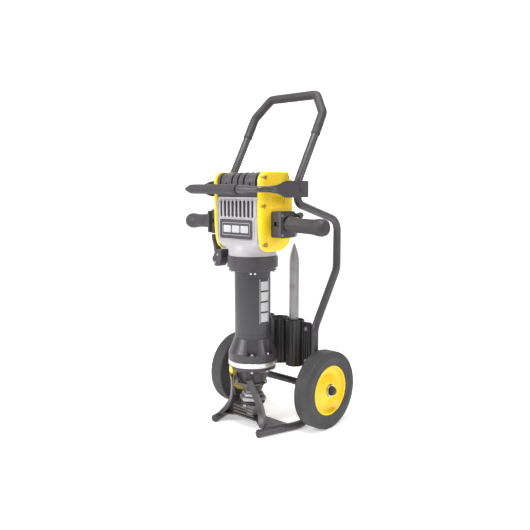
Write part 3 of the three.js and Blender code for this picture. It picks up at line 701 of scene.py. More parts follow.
def make_loop_grip():
    def radius(gone, total):
        from_end = min(gone, total - gone)
        if from_end < 1.5:
            return 14.2
        return 15.4 if from_end < 7 else 14.5 - 0.15 * math.cos(gone / 9)

    stations = resampled(bent_path(loop_corners(GRIP_START)), 5)
    piece("handle_loop_sleeve", tube(stations, radius, 36), GRIP, "trolley", ["handle_loop_grip"], sharp=50)


def make_axle():
    half = UPRIGHT_X - TUBE_R
    cross = along_x(ring(9, 12, -half, half, 0.5, 48), AXLE_Y, WHEEL_R)
    piece("cross_axle_tube", cross, COAT, "trolley", ["axle_tube"])
    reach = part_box("axle_rod")[1].x / MM
    bar = along_x(disc(8, -reach, reach, 0.8, 40), AXLE_Y, WHEEL_R)
    piece("axle_bar", bar, MACHINED, "trolley", ["axle_rod"])
    whole = shifted(moved(cap_nut(inner_of("right_axle_nut")), TO_X), 0, AXLE_Y, WHEEL_R)
    for name, side in SIDES:
        piece(f"{name}_cap_nut", sided(whole, side), DARK, "trolley", [f"{name}_axle_nut"], bevel=0.7)


def cap_nut(inner):
    angles = [math.pi * (k + 0.5) / 3 for k in range(6)]
    nut = prism([(14 * math.cos(a), 14 * math.sin(a)) for a in angles], inner, inner + 9)
    flange = ring(8.5, 15.5, inner - 0.3, inner + 1.8, 0.6, 48)
    profile = [(9.5, 8), (11.5, 9), (9, 13.5), (4, 15.3), (0, 15.3)]
    dome = lathe(softened([(r, inner + x) for r, x in profile], 2), 40)
    return joined(nut, flange, dome)


# ---- trolley: deck, cradle and pockets
DECK = top_of("base_plate")


def make_deck():
    half = [(135, 22, 3), (101, -63, 4), (88, -63, 4), (45, -32, 12)]
    outline = half + [(-x, y, soft) for x, y, soft in reversed(half)]
    bottom = bottom_of("base_plate")
    plate = slab(outline, 3, bottom, DECK)
    piece("deck_plate", plate, COAT, "trolley", ["base_plate"], bevel=0.8)
    lines = []
    for side in (-1, 1):
        a, b = Vector((side * 132, 18, bottom)), Vector((side * 101, -58, bottom))
        count = 14
        lines += [ball(a.lerp(b, k / count), 2.6) for k in range(count + 1)]
    piece("deck_weld_beads", joined(*lines), COAT, "trolley", sharp=60)


def make_cradle():
    front = quadratic((0, 0), (28, 22), (33, 66)) + quadratic((33, 66), (33, 110), (24, 148))[1:]
    rear = quadratic((38, 148), (50, 100), (56, 66)) + quadratic((56, 66), (50, 20), (34, 0))[1:]
    blade = prism(front + rear, 0, 6)
    edge = [(x - 0.2, y - 0.1) for x, y in front]
    rim_in = [(x + 5.5, y - 0.1) for x, y in front]
    flange = prism(edge + rim_in[::-1], -12, 5.8)
    along = Vector((-0.434, 0.901, 0)).normalized()
    inward = Vector((-along.y, along.x, 0))
    up = (inward * 0.352 + Vector((0, 0, 1))).normalized()
    outward = along.cross(up)
    stand = Matrix((
        (along.x, up.x, outward.x, 98), (along.y, up.y, outward.y, -60),
        (along.z, up.z, outward.z, DECK + 0.3), (0, 0, 0, 1),
    ))
    clear = [disc(65, 90, 200, 0, 96), block((-200, -200, -10), (200, 200, DECK + 0.35))]
    for name, side in SIDES:
        whole = sided(moved(joined(blade, flange), stand), side)
        piece(f"{name}_cradle_blade", whole, COAT, "trolley", [f"{name}_cradle_plate"], bevel=1.2,
              cutters=clear, crossing=True)


# ---- wheels
WHEEL_INNER = inner_of("right_tyre")
WHEEL_WIDTH = (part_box("right_tyre")[1].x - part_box("right_tyre")[0].x) / MM


def on_axle(profile, soft=1.0):
    return shifted(along_x(turned(profile, soft, 128, 5), AXLE_Y, WHEEL_R), WHEEL_INNER, 0, 0)


def make_wheels():
    wide = WHEEL_WIDTH
    half = [(81.4, 12, 0), (81.4, 3.4, 1.6), (85, 2.2, 2), (88.5, 3, 2), (107, 0.2, 9), (121, 1.6, 3),
            (125.6, 3.6, 1.6), (WHEEL_R, 10, 5)]
    other = [(r, wide - x, soft) for r, x, soft in reversed(half)]
    seam = [(WHEEL_R, wide / 2 - 0.9, 0.2), (WHEEL_R - 0.5, wide / 2, 0.2), (WHEEL_R, wide / 2 + 0.9, 0.2)]
    tyre = on_axle(half + seam + other)
    rim = on_axle([
        (20.4, 3), (24, 2, 1), (28, 19, 5), (61, 21, 6), (73.5, 7, 3), (81, 5, 1), (81, wide - 3.7, 1.3),
        (77.5, wide - 2.6, 1.6), (74.5, wide - 4.5, 1.6), (72.8, wide - 12, 3), (65, wide - 17.5, 5),
        (55, wide - 18.5, 6), (40, wide - 13, 8), (28.5, wide - 8.5, 4), (25, wide - 5.4, 1.5),
        (20.4, wide - 5.4, 0.8),
    ])
    bush = on_axle([
        (8.6, 0.2), (20, 0.2), (20, wide - 1), (17.6, wide - 0.4), (15, wide - 0.4), (14, wide - 1.6),
        (8.6, wide - 1.6),
    ], 0.8)
    for name, side in SIDES:
        body = f"{name}_wheel"
        piece(f"{name}_solid_tyre", sided(tyre, side), TYRE, body, [f"{name}_tyre"], sharp=35)
        piece(f"{name}_dished_rim", sided(rim, side), RIM_YELLOW, body, [f"{name}_rim"], sharp=40)
        piece(f"{name}_hub_bush", sided(bush, side), MACHINED, body, [f"{name}_wheel_bush"], sharp=40)


# ---- spare chisel and its pockets
HOLDER_Y = 134
PITCH = 67
POCKET_BOTTOM = bottom_of("chisel_holder")
POCKET_TOP = top_of("chisel_holder")


def wavy_ring(r, depth, z):
    """A circle with ten flutes."""
    return [polar(r - depth * (0.5 + 0.5 * math.cos(10 * a)) ** 2, a, z) for a in whole_turn(120)]


def pocket():
    low, high = POCKET_BOTTOM, POCKET_TOP
    return lofted([wavy_ring(*three) for three in (
        (29.4, 1.2, low), (31.2, 1.8, low + 1.2), (31.6, 2, low + 3), (31.6, 2, high - 9),
        (31.9, 0.6, high - 7), (31.9, 0.2, high - 1.2), (31, 0, high), (29.3, 0, high),
        (28.6, 0, high - 1), (28.6, 0, low + 3.5), (1, 0, low + 3.5),
    )])


def make_pockets():
    parts = [shifted(pocket(), i * PITCH, HOLDER_Y, 0) for i in (-1, 0, 1)]
    for x in (-PITCH / 2, PITCH / 2):
        parts.append(block((x - 3.4, HOLDER_Y - 4, POCKET_BOTTOM), (x + 3.4, HOLDER_Y + 4, POCKET_TOP)))
    reach = UPRIGHT_X - TUBE_R
    for side in (-1, 1):
        low, high = sorted((side * (PITCH + 30.4), side * (reach - 0.5)))
        parts.append(block((low, HOLDER_Y - 2, POCKET_BOTTOM + 2), (high, HOLDER_Y + 4, POCKET_TOP - 2)))
        for k in range(4):
            x = side * (PITCH + 36 + 9.5 * k)
            flute = (x - 3.6, HOLDER_Y - 5.5, x + 3.6, HOLDER_Y - 1)
            parts.append(plank(flute, 3, POCKET_BOTTOM + 4, POCKET_TOP - 4))
    piece("chisel_pockets", joined(*parts), DARK, "trolley", ["chisel_holder"], sharp=35)
    heads = []
    for side in (-1, 1):
        for z in (POCKET_BOTTOM + 24, POCKET_TOP - 24):
            heads.append(hex_head((side * 117.5, HOLDER_Y - 5, z), (0, -1, 0), 5.5, 4))
    piece("pocket_bolts", joined(*heads), CHISEL_STEEL, "trolley", bevel=0.3)


def hexagon(r, z, soft=1.5):
    """A rounded hexagon with a corner at the back."""
    corners = [(r * math.cos(a), r * math.sin(a)) for a in (math.radians(90 + 60 * k) for k in range(6))]
    return [(x, y, z) for x, y in softened(corners, soft, closed=True, steps=3)]


CHISEL_ACROSS = 28.6


def make_chisel():
    low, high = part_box("spare_chisel")
    centre = ((low.x + high.x) / 2 / MM, ((low.y + high.y) / 2 - AXIS_Y) / MM)
    foot, tip = low.z / MM, high.z / MM
    r = CHISEL_ACROSS / math.sqrt(3)
    point = ((62, 1), (52, 0.97), (40, 0.86), (26, 0.64), (12, 0.36), (3, 0.16), (0, 0.06))
    stations = [(foot, r - 2), (foot + 2, r)] + [(tip - down, r * share) for down, share in point]
    shank = lofted([hexagon(size, z, size * 0.16) for z, size in stations])
    collar = lathe(softened([(0, 318), (19, 318), (21.5, 322), (21.5, 330), (19, 334), (0, 334)], 1.5), 64)
    whole = shifted(joined(shank, collar), *centre, 0)
    piece("bull_point_chisel", whole, CHISEL_STEEL, "chisel", ["spare_chisel"], sharp=25)


# ---- retaining hoop
HOOP_Z = 773
HOOP_X = 164.8
HOOP_FRONT = -137


def superellipse(half_out, half_up, power, sides=40):
    def squared(value):
        return math.copysign(abs(value) ** (2 / power), value)

    return [(half_out * squared(math.cos(a)), half_up * squared(math.sin(a))) for a in whole_turn(sides)]


def eased(value, low, high):
    t = min(1, max(0, (value - low) / (high - low)))
    return t * t * (3 - 2 * t)


def hoop_section(at):
    """Half thickness, half height and squareness of the forged hoop at a place on it."""
    if at.y > -112:
        flat = eased(at.y, -100, -64)
        tall = 9 + 4 * eased(at.y, -104, -62) + 12.5 * eased(at.y, -70, -20)
        return 9 - 6.4 * flat, tall, 2 + 6 * eased(at.y, -90, -40)
    swell = eased(at.x, 66, 76) * (1 - eased(at.x, 92, 138))
    return 9 + 3.6 * swell, 9 + 3.6 * swell, 2


def make_hoop():
    corners = [
        (-HOOP_X, 76, HOOP_Z), (-HOOP_X, HOOP_FRONT, HOOP_Z, 17), (HOOP_X, HOOP_FRONT, HOOP_Z, 17),
        (HOOP_X, 76, HOOP_Z),
    ]
    stations = resampled(bent_path(corners), 4)
    up = Vector((0, 0, 1))
    rings = []
    for i, at in enumerate(stations):
        ahead = stations[min(i + 1, len(stations) - 1)] - stations[max(i - 1, 0)]
        outward = ahead.normalized().cross(up)
        section = superellipse(*hoop_section(at))
        rings.append([at + outward * a + up * b for a, b in section])
    hole = along_x(disc(6.4, -200, 200, 0), HOOP_PIVOT_Y, HOOP_Z)
    piece("forged_hoop", lofted(rings), COAT, "bail", ["bail_hoop"], sharp=40, cutters=[hole])
    sleeve = turned([
        (9.6, -146), (11.4, -146), (14.4, -138, 3), (15.1, -120, 8), (15.2, 50, 3), (15.1, 61, 2),
        (14, 63.5, 1), (14.9, 66, 0.8), (15.6, 67.5, 0.8), (15.6, 71.6, 0.8), (9.6, 72, 0.4),
    ], 1.5, 72)
    piece("hoop_sleeve", along_x(sleeve, HOOP_FRONT, HOOP_Z), GRIP, "bail", ["bail_grip"], sharp=40)
    outer = HOOP_X + 2.7
    shank = disc(6, inner_of("right_bail_bolt"), outer + 1, 0.5, 40)
    head = disc(8.8, outer + 0.3, outer + 2.4, 1.4, 48)
    bolt = along_x(joined(shank, head), HOOP_PIVOT_Y, HOOP_Z)
    for name, side in SIDES:
        piece(f"{name}_hoop_pivot", sided(bolt, side), BLACK_CASTING, "trolley", [f"{name}_bail_bolt"])


# ---- the breaker's grey body
BODY_X = 90.7
BODY_FRONT = -70
BODY_BACK = 78
BODY_TOP = top_of("motor_housing")
NECK_LOW = bottom_of("motor_housing")
NECK_R = 77
WINDOW = (-83.6, 682.5, 77.6, 741)
BADGE = (-75, 618, 69, 680)
GRILLE_X = -3


def by_angle(outline, angles):
    """Where rays from the origin leave an outline drawn round it."""
    points = []
    for angle in angles:
        dx, dy = math.cos(angle), math.sin(angle)
        best = 0
        for (x0, y0), (x1, y1) in zip(outline, outline[1:] + outline[:1]):
            ex, ey = x1 - x0, y1 - y0
            cross = dx * ey - dy * ex
            if abs(cross) < 1e-9:
                continue
            t = (x0 * ey - y0 * ex) / cross
            u = (x0 * dy - y0 * dx) / cross
            if t > 0 and -1e-6 <= u <= 1 + 1e-6:
                best = max(best, t)
        points.append((dx * best, dy * best))
    return points


def body_ring(z, share, inset=0.0):
    """Between the round neck (share 0) and the square body (share 1)."""
    x_half = BODY_X - inset
    square = rectangle(-x_half, BODY_FRONT + inset, x_half, BODY_BACK - inset, 10, 6)
    angles = whole_turn(120)
    made = []
    for angle, (x, y) in zip(angles, by_angle(square, angles)):
        nx, ny = NECK_R * math.cos(angle), NECK_R * math.sin(angle)
        made.append((nx + (x - nx) * share, ny + (y - ny) * share, z))
    return made


def upright_slot(x, low, high, width, front, back):
    return plank((x - width / 2, low, x + width / 2, high), width * 0.49, front, back, "y", 6)


def make_body():
    rings = [body_ring(NECK_LOW, 0)]
    rings += [body_ring(z, eased(z, 576, 606)) for z in range(572, 610, 3)]
    rings += [body_ring(BODY_TOP - 40, 1), body_ring(BODY_TOP - 2, 1), body_ring(BODY_TOP, 1, 1.6)]
    window = plank(WINDOW, 7, BODY_FRONT - 5, BODY_FRONT + 13, "y", 6)
    vents = [plank((-60, z, 60, z + 7), 3.2, BODY_BACK - 9, BODY_BACK + 3, "y") for z in range(642, 699, 14)]
    hollow = [disc(58, NECK_LOW - 5, 668, 0, 96), along_x(disc(64.6, -14, 89.6, 0, 96), 0, 672)]
    body = piece("grey_motor_body", lofted(rings), GREY_CASTING, "breaker", ["motor_housing"], bevel=0.8,
                 cutters=[window, *vents, *hollow])
    body.data.set_sharp_from_angle(angle=math.radians(40))
    front = BODY_FRONT + 0.6
    plate = plank((GRILLE_X - 80.2, 682.8, GRILLE_X + 80.2, 740.7), 6.5, front, front + 5, "y", 6)
    slots = []
    for i in range(-4, 5):
        width = 9 if abs(i) == 4 else 11.8
        slots.append(upright_slot(GRILLE_X + 17.2 * i, 685.5, 738.2, width, front - 2, front + 8))
    piece("grille_bars", plate, GREY_CASTING, "breaker", ["front_grille"], bevel=0.9, cutters=slots)
    # painted shade: a sheet of the darkest plastic behind the grille slots stands in for the shadowed depth
    # inside the vents
    back = plank((GRILLE_X - 79, 684, GRILLE_X + 79, 740), 5, BODY_FRONT + 6.1, BODY_FRONT + 7.4, "y")
    piece("grille_painted_shade_sheet", back, DARK, "breaker")
    make_panel_beads()
    make_badge()


def bead(outline, y, r):
    """A rounded rib that runs round an outline drawn in the XZ plane."""
    back = Vector((0, 1, 0))
    rings = []
    for i, (x, z) in enumerate(outline):
        before, after = outline[i - 1], outline[(i + 1) % len(outline)]
        across = Vector((after[0] - before[0], 0, after[1] - before[1])).normalized().cross(back)
        at = Vector((x, y, z))
        rings.append([at + across * r * math.cos(a) + back * r * math.sin(a) for a in whole_turn(12)])
    return lofted(rings + [rings[0]], capped=False)


def make_panel_beads():
    around_both = softened([
        (-86, 743.5, 10), (-86, 614, 10), (75, 614, 12), (75, 682, 6), (82, 690, 6), (82, 743.5, 10),
    ], 8, closed=True, steps=8)
    beads = joined(bead(around_both, BODY_FRONT + 0.2, 2.2), bead(rectangle(*BADGE, 8, 8), BODY_FRONT, 1.6))
    piece("panel_beads", beads, GREY_CASTING, "breaker", sharp=60)


def make_badge():
    front = BODY_FRONT - 2.8
    x0, z0, x1, z1 = BADGE
    plate = plank((x0 + 0.6, z0 + 0.6, x1 - 0.6, z1 - 0.6), 7.5, front, BODY_FRONT + 1, "y", 8)
    well = plank((x0 + 8, z0 + 9, x1 - 8, z1 - 9), 3, front - 1, front + 1, "y")
    piece("blank_badge", plate, BLACK, "breaker", ["badge_plate"], bevel=0.7, cutters=[well])
    outline = rectangle(x0 + 12, z0 + 12, x1 - 12, z1 - 12, 2, 4)
    middle = (z0 + z1) / 2
    bars = [
        plank((x0 + 17 + x, middle - 11, x0 + 50 + x, middle + 11), 3.5, front + 0.35, front + 1.4, "y")
        for x in (0, 38, 76)
    ]
    piece("badge_insert", joined(bead(outline, front + 1, 0.7), *bars), PALE_MARK, "breaker", bevel=0.3)


# ---- black ribbed cap over the motor
def cap_outline(inset=0.0):
    front, back, low, high = -66 + inset, BODY_BACK - inset, BODY_TOP + 0.3, top_of("top_cap") - inset
    return ([(front, low)] + quadratic((front, high - 34), (front, high), (front + 34, high), 12)
            + quadratic((back - 30, high), (back, high), (back, high - 30), 12) + [(back, low)])


def make_cap():
    shell = prism(cap_outline(), -BODY_X, BODY_X, "x")
    grooves = [plank((x - 3.6, -80, x + 3.6, -24), 3.4, 777, 830, steps=6) for x in (-78, -26, 0, 26, 78)]
    grooves += [plank((x - 3.6, -80, x + 3.6, -57), 3.4, 776, 793, steps=6) for x in (-52, 52)]
    trim = block((-100, -70, 768), (100, -64.6, 770.4))
    top = top_of("top_cap")
    ribs = [plank((-84, y - 2, 84, y + 2), 1.9, top - 1.6, top + 3, steps=4) for y in (0, 14, 28, 42)]
    cuts = [*grooves, trim, *ribs]
    piece("ribbed_motor_cap", shell, BLACK, "breaker", ["top_cap"], bevel=1.1, cutters=cuts)
    rails = []
    for x in (-65, -39, -13, 13, 39, 65):
        path = [Vector((x, y, z)) for y, z in cap_outline(0.6)[1:14]]
        rails.append(tube(resampled(path, 3), 1.8, 12))
    piece("cap_ridges", joined(*rails), BLACK, "breaker", sharp=60)
    direction = Vector((0, -0.74, 0.67)).normalized()
    screws = [socket_screw((x, -56.5, 807), direction, 4.4, 2.6) for x in (-52, 52)]
    piece("cap_screws", joined(*screws), CHISEL_STEEL, "breaker", bevel=0.2)


# ---- yellow side covers
COVER_INNER = 91
COVER_OUTER = 106


def cover_outline(inset):
    f, b, lo, hi = -72 + inset, 77 - inset, 580 + inset, top_of("right_cover") - inset
    return (quadratic((f, hi - 36), (f, hi), (f + 30, hi), 10)
            + [(b - 20, hi), (b - 18, hi - 3), (b - 18, hi - 20)]
            + quadratic((b - 6, hi - 21), (b, hi - 21), (b, hi - 34), 6)
            + quadratic((b, lo + 84), (b, lo), (8, lo), 16)
            + quadratic((f + 44, lo), (f + 12, lo + 3), (f + 7, lo + 28), 8)
            + quadratic((f + 7, lo + 28), (f, lo + 60), (f, lo + 100), 5)[1:])


COVER_SCREWS = ((-56, 722), (-48, 604), (-50, 808))


def cover_cutters():
    upper = plank((-44, 716, 96, 838), 10, 103.4, 112, "x", 6)
    slits = [plank((-18 + y, 728, -15.2 + y, 750), 1.1, 99.5, 112, "x", 4) for y in range(0, 63, 9)]
    notches = []
    for y, z in COVER_SCREWS:
        notches.append(along_x(disc(7.4, 99.5, 115, 0.3, 40), y, z))
        notches.append(block((99.5, y - 24, z - 5.2), (115, y, z + 5.2)))
    return [upper, *slits, *notches]


def make_covers():
    steps = ((COVER_INNER, 0.0), (97.5, 0.0), (100.6, 0.8), (103.2, 2.4), (105, 4.8), (COVER_OUTER, 8.2))
    rings = [[(x, y, z) for y, z in cover_outline(inset)] for x, inset in steps]
    vertices, faces = lofted(rings)
    shape = (vertices, [tuple(reversed(face)) for face in faces])
    heads = joined(*(socket_screw((99.4, y, z), (1, 0, 0), 4.4, 4) for y, z in COVER_SCREWS))
    for name, side in SIDES:
        cutters = [sided(c, side) for c in cover_cutters()]
        piece(f"{name}_yellow_cover", sided(shape, side), YELLOW, "breaker", [f"{name}_cover"], bevel=0.9,
              sharp=28, cutters=cutters)
        piece(f"{name}_cover_screws", sided(heads, side), ZINC, "breaker", bevel=0.2)


# ---- handles
HANDLE_Z = 667.5
HANDLE_Y = -5
HANDLE_X = 129
HANDLE_END = 303
LEFT_OUTSET = 17  # the left handle stands further out
DROOP = math.radians(1.9)
BLOCK_INNER = 106.3
BLOCK_OUTER = 147
PLATE_INNER = 147.3
PLATE_OUTER = 155
KNOB_Y, KNOB_Z = 34, 694
PIVOT_X, PIVOT_Y = 168, 37  # the switch lever's upright pin


def on_side(part, side):
    return part if side > 0 else mirrored(shifted(part, LEFT_OUTSET, 0, 0))


def mount_block(side):
    low, high = span_of("right_handle_block")
    inner = BLOCK_INNER if side > 0 else BLOCK_INNER - LEFT_OUTSET
    return plank((-28, low, 37, high), 7, inner, BLOCK_OUTER, "x", 6)


def make_handles():
    bore = along_x(disc(24, 118, 150, 0, 64), HANDLE_Y, HANDLE_Z)
    grooves = [block((131, -42, 600), (132.6, -26.9, 720)), block((131, 35.9, 600), (132.6, 42, 720))]
    plate = plank((-38, 628, 38, 701), 8, PLATE_INNER, PLATE_OUTER, "x", 6)
    eye = along_x(disc(23.5, 140, 162, 0, 64), HANDLE_Y, HANDLE_Z)
    rim = along_x(ring(23.6, 29, 152, 156.6, 1.5), HANDLE_Y, HANDLE_Z)
    screws = [(PLATE_OUTER - 0.4, y, z) for y, z in ((-31, 635), (-31, 694), (31, 635))]
    heads = joined(*(socket_screw(at, (1, 0, 0), 4, 3) for at in screws))
    profile = [(0, 150), (6, 150), (6, 164), (9, 165), (9, 176), (7, 178), (0, 178)]
    knob = along_x(lathe(softened(profile, 1), 48), KNOB_Y, KNOB_Z)
    lug = slab([(148.5, 30), (167, 28), (177, 37), (167, 46), (148.5, 44)], 5, 671, 677)
    pin = shifted(disc(4, 673, 690, 0.6, 32), PIVOT_X, PIVOT_Y, 0)
    for name, side in SIDES:
        piece(f"{name}_handle_mount", on_side(mount_block(side), side), BLACK, "breaker",
              [f"{name}_handle_block"], bevel=2.0, cutters=[on_side(c, side) for c in (bore, *grooves)])
        extras = [rim, knob] if side > 0 else [rim, lug, pin]
        piece(f"{name}_handle_plate", on_side(joined(plate, *extras), side), BLACK, "breaker",
              [f"{name}_handle_flange"], bevel=1.3, cutters=[on_side(eye, side)], crossing=True)
        piece(f"{name}_plate_screws", on_side(heads, side), CHISEL_STEEL, "breaker", bevel=0.2)
        make_grip(name, side)


def drooping(part, side):
    turn = Matrix.Translation((HANDLE_X, HANDLE_Y, HANDLE_Z)) @ Matrix.Rotation(DROOP, 4, "Y") @ TO_X
    return on_side(moved(part, turn), side)


def make_grip(name, side):
    end = HANDLE_END - HANDLE_X - (0 if side > 0 else LEFT_OUTSET)
    profile = [(0, -8), (16, -8), (20, -3), (20, 4), (15, 9), (15, end - 8), (0, end - 8)]
    core = lathe(softened(profile, 1), 64)
    piece(f"{name}_grip_core", drooping(core, side), BLACK, f"{name}_handle", [f"{name}_handle_core"])
    profile = [
        (15.4, 31, 0.5), (22, 31.2, 2), (25.4, 32.4, 2.5), (25.6, 37.6, 3), (23.4, 46, 8), (22.2, 85, 40),
        (22.6, end - 50, 20), (25.8, end - 30, 16), (25.6, end - 14, 8), (21.5, end - 3.4, 5),
        (14, end - 0.6, 3), (0, end - 0.4, 0), (0, end - 7), (15.4, end - 7),
    ]
    grip = drooping(turned(profile, 0.5, 96, 8), side)
    piece(f"{name}_rubber_grip", grip, GRIP, f"{name}_handle", [f"{name}_handle_grip"], sharp=45)


def make_lever():
    hub = shifted(ring(4.6, 9, 677.8, 690.4, 1.4), PIVOT_X, PIVOT_Y, 0)
    arm = slab([
        (171, 31), (182, 34), (216, 34.6), (218, 37), (216, 40.6), (182, 41), (171, 43),
    ], 3, 678, 690.2)
    paddle = slab([
        (176.5, 690), (176.5, 668), (182, 655), (198, 652.4), (212, 656), (217.6, 670), (217.6, 690),
    ], 7, 35.4, 40.6, "y")
    whole = on_side(joined(hub, arm, paddle), -1)
    piece("switch_paddle", whole, BLACK, "lever", ["switch_lever"], bevel=1.2)


# ---- mains inlet
INLET_Y = -38
GLAND_X, GLAND_Z = -126.3, 544


def make_inlet():
    body = slab([
        (-88.6, 578, 3), (-88.6, 550, 8), (-96, 530, 8), (-104, 522, 6), (-122, 522, 8), (-126, 540, 5),
        (-124, 562, 8), (-114, 578, 6),
    ], 6, -55, -21, "y", 6)
    arm_rings = []
    for t in [k / 14 for k in range(15)]:
        z = 624.4 - 58 * t
        x = -139 + 20 * eased(t, 0.1, 1.1)
        half_x, half_y = 4.4 + 4 * eased(t, 0.3, 1), 10 + 4 * eased(t, 0.4, 1)
        arm_rings.append([(x + a, INLET_Y + b, z) for a, b in superellipse(half_x, half_y, 4)])
    lug = slab([(-90, 567), (-84, 567), (-84, 578), (-90, 578)], 1, -49, -27, "y")
    clear = disc(80.4, 480, 564.7, 0, 128)
    whole = joined(body, lofted(arm_rings), lug)
    piece("cable_inlet_body", whole, BLACK, "breaker", ["cord_inlet"], bevel=1.4, cutters=[clear])
    boss = turned([(5.6, 0), (13, 0), (13.4, 4), (12.6, 9.5), (9.6, 12.6), (5.6, 12.6)], 1.2, 64)
    notch = block((-3, 11.2, -1), (3, 16, 14))
    turn = Matrix.Translation((GLAND_X, INLET_Y, GLAND_Z)) @ Matrix.Rotation(math.radians(-90), 4, "Y")
    cuts = [moved(notch, turn @ Matrix.Rotation(angle, 4, "Z")) for angle in around(8, 22.5)]
    piece("cable_gland_nut", moved(boss, turn), GRIP, "breaker", ["cord_gland"], bevel=0.5, cutters=cuts)
    screws = [socket_screw((x, -55, z), (0, -1, 0), 3.6, 3) for x, z in ((-116, 533), (-104, 560))]
    piece("inlet_screws", joined(*screws), ZINC, "breaker")


# ---- collar, barrel and nose
def make_collar():
    low, high = span_of("bearing_collar")
    shape = turned([
        (58.3, low), (73.5, low, 1.5), (76, low + 2, 1.5), (76, low + 9), (79.7, low + 11.5, 1.5),
        (79.7, low + 34), (78.9, low + 35.2, 0.4), (78.9, low + 36.6, 0.4), (79.7, low + 37.8, 0.4),
        (79.7, high - 1.5, 1.5), (77.5, high, 1), (58.3, high),
    ], 1.0, 128)
    lug = slab([(56, -15), (70, -15), (76, -9), (76, 9), (70, 15), (56, 15)], 4, low - 0.6, low + 3)
    pad = slab([(76, -13), (81, -11), (81, 11), (76, 13)], 1.5, low + 11.5, high - 5)
    lugs, heads = [], []
    for angle in around(4, -45):
        lugs += [spun(lug, angle), spun(pad, angle)]
        for tangent in (-6.5, 6.5):
            at = spun_point(68.5, tangent, low - 0.6, angle)
            heads.append(socket_screw(at, (0, 0, -1), 3.3, 6))
    piece("bearing_ring", joined(shape, *lugs), BLACK_CASTING, "breaker", ["bearing_collar"], bevel=0.7)
    piece("bearing_bolts", joined(*heads), ZINC, "breaker", bevel=0.2)


def curved_patch(r, middle, half_angle, low, high, thick=0.35, columns=24):
    angles = [middle - half_angle + 2 * half_angle * k / columns for k in range(columns + 1)]
    vertices = [polar(radius, a, z) for z in (low, high) for radius in (r - 0.5, r + thick) for a in angles]
    n = columns + 1
    faces = []
    for k in range(columns):
        a, b, c, d = k, k + n, k + 2 * n, k + 3 * n
        faces += [(b, b + 1, d + 1, d), (a, c, c + 1, a + 1), (a, a + 1, b + 1, b), (c, d, d + 1, c + 1)]
    faces += [(0, n, 3 * n, 2 * n), (n - 1, 3 * n - 1, 4 * n - 1, 2 * n - 1)]
    return vertices, faces


def make_barrel():
    low, high = span_of("barrel")
    r = (barrel_high.x - barrel_low.x) / 2 / MM
    shape = turned([
        (50.6, low), (r - 0.4, low), (r, low + 4, 1), (r, low + 12, 0.5), (r - 0.8, low + 13, 0.4),
        (r - 0.8, low + 14.5, 0.4), (r, low + 15.5, 0.4), (r, 494, 0.5), (r - 0.7, 495, 0.4),
        (r - 0.7, 496.6, 0.4), (r, 497.6, 0.5), (r, high), (50.6, high),
    ], 0.8, 144)
    piece("long_barrel", shape, BARREL_PAINT, "breaker", ["barrel"], sharp=40)
    middle = math.radians(-4)
    marks = [curved_patch(r, middle, math.radians(15), z, z + 28) for z in (352, 386, 420, 454)]
    for aside in (math.radians(18.5), -math.radians(18.5)):
        marks.append(curved_patch(r, middle + aside, math.radians(0.9), 346, 490))
    piece("barrel_stripe", joined(*marks), PALE_MARK, "breaker", sharp=60)


NOSE_POCKETS = [math.radians(degrees) for degrees in (-48, -3, 132, 177)]
POCKET_FLOOR = 247.5


def make_flare():
    low, high = span_of("barrel_flange")
    shape = turned([
        (30, low), (78, low, 1), (79, low + 1.2, 1), (79, POCKET_FLOOR - 0.5), (77.6, 251.5, 2.5),
        (75.2, 256, 4), (62, 288, 10), (58.9, high), (30, high),
    ], 1.2, 144, 6)
    notch = slab([(60, -13), (92, -19), (92, 19), (60, 13)], 4, POCKET_FLOOR, 305)
    cutters = [spun(notch, angle) for angle in NOSE_POCKETS]
    heads = [hex_head(spun_point(69.5, 0, POCKET_FLOOR, a), (0, 0, 1), 5.4, 6) for a in NOSE_POCKETS]
    piece("flared_casting", shape, BLACK_CASTING, "breaker", ["barrel_flange"], bevel=1.0, cutters=cutters)
    piece("flange_bolts", joined(*heads), ZINC, "breaker", bevel=0.3)


TAG_AT = math.radians(247)


def make_nose():
    low, high = span_of("nose_ring")
    bright = turned([
        (30, low), (77.6, low, 0.5), (79.4, low + 1.6, 0.6), (79.4, low + 4.4, 0.4), (78.7, low + 5, 0.3),
        (78.7, low + 6, 0.3), (79.4, low + 6.6, 0.4), (79.4, high - 1.6, 0.6), (77.8, high, 0.5), (30, high),
    ], 0.5, 144)
    piece("bright_clamp_ring", bright, BRIGHT_RING, "breaker", ["nose_ring"], sharp=30)
    bottom, top = span_of("nose_casting")
    shape = turned([
        (18, bottom), (30, bottom, 1), (31.5, bottom + 2, 1), (44, 152, 10), (54, 183, 8), (62, 192, 5),
        (74.5, 195, 1.5), (76, 196.5, 1), (76, top - 1.5, 1), (74.5, top, 1), (18, top),
    ], 1.5, 128, 6)
    rib = slab([
        (36, 149.5), (44.5, 149.5), (54, 180), (60, 188), (74, 194), (75, 199), (50, 199),
    ], 2, -3.2, 3.2, "y")
    ribs = [spun(rib, angle) for angle in around(8, -25)]
    tab = slab([(60, -16), (79, -12), (79, 12), (60, 16)], 3, top - 10.5, top - 0.5)
    tabs = [spun(tab, angle) for angle in around(2, 15)]
    piece("nose_cone", joined(shape, *ribs, *tabs), BLACK_CASTING, "breaker", ["nose_casting"], bevel=0.8)
    heads = [socket_screw(spun_point(68.4, 0, 195.6, a), (0, 0, -1), 4.2, 6) for a in NOSE_POCKETS]
    piece("nose_bolts", joined(*heads), ZINC, "breaker", bevel=0.2)
    tag = joined(plank((-13, 182.6, 13, 203), 2.5, 76.2, 77.6, "x"), block((70, -4, 197), (77, 4, 202)))
    piece("plain_yellow_tag", spun(tag, TAG_AT), RIM_YELLOW, "breaker", bevel=0.3)


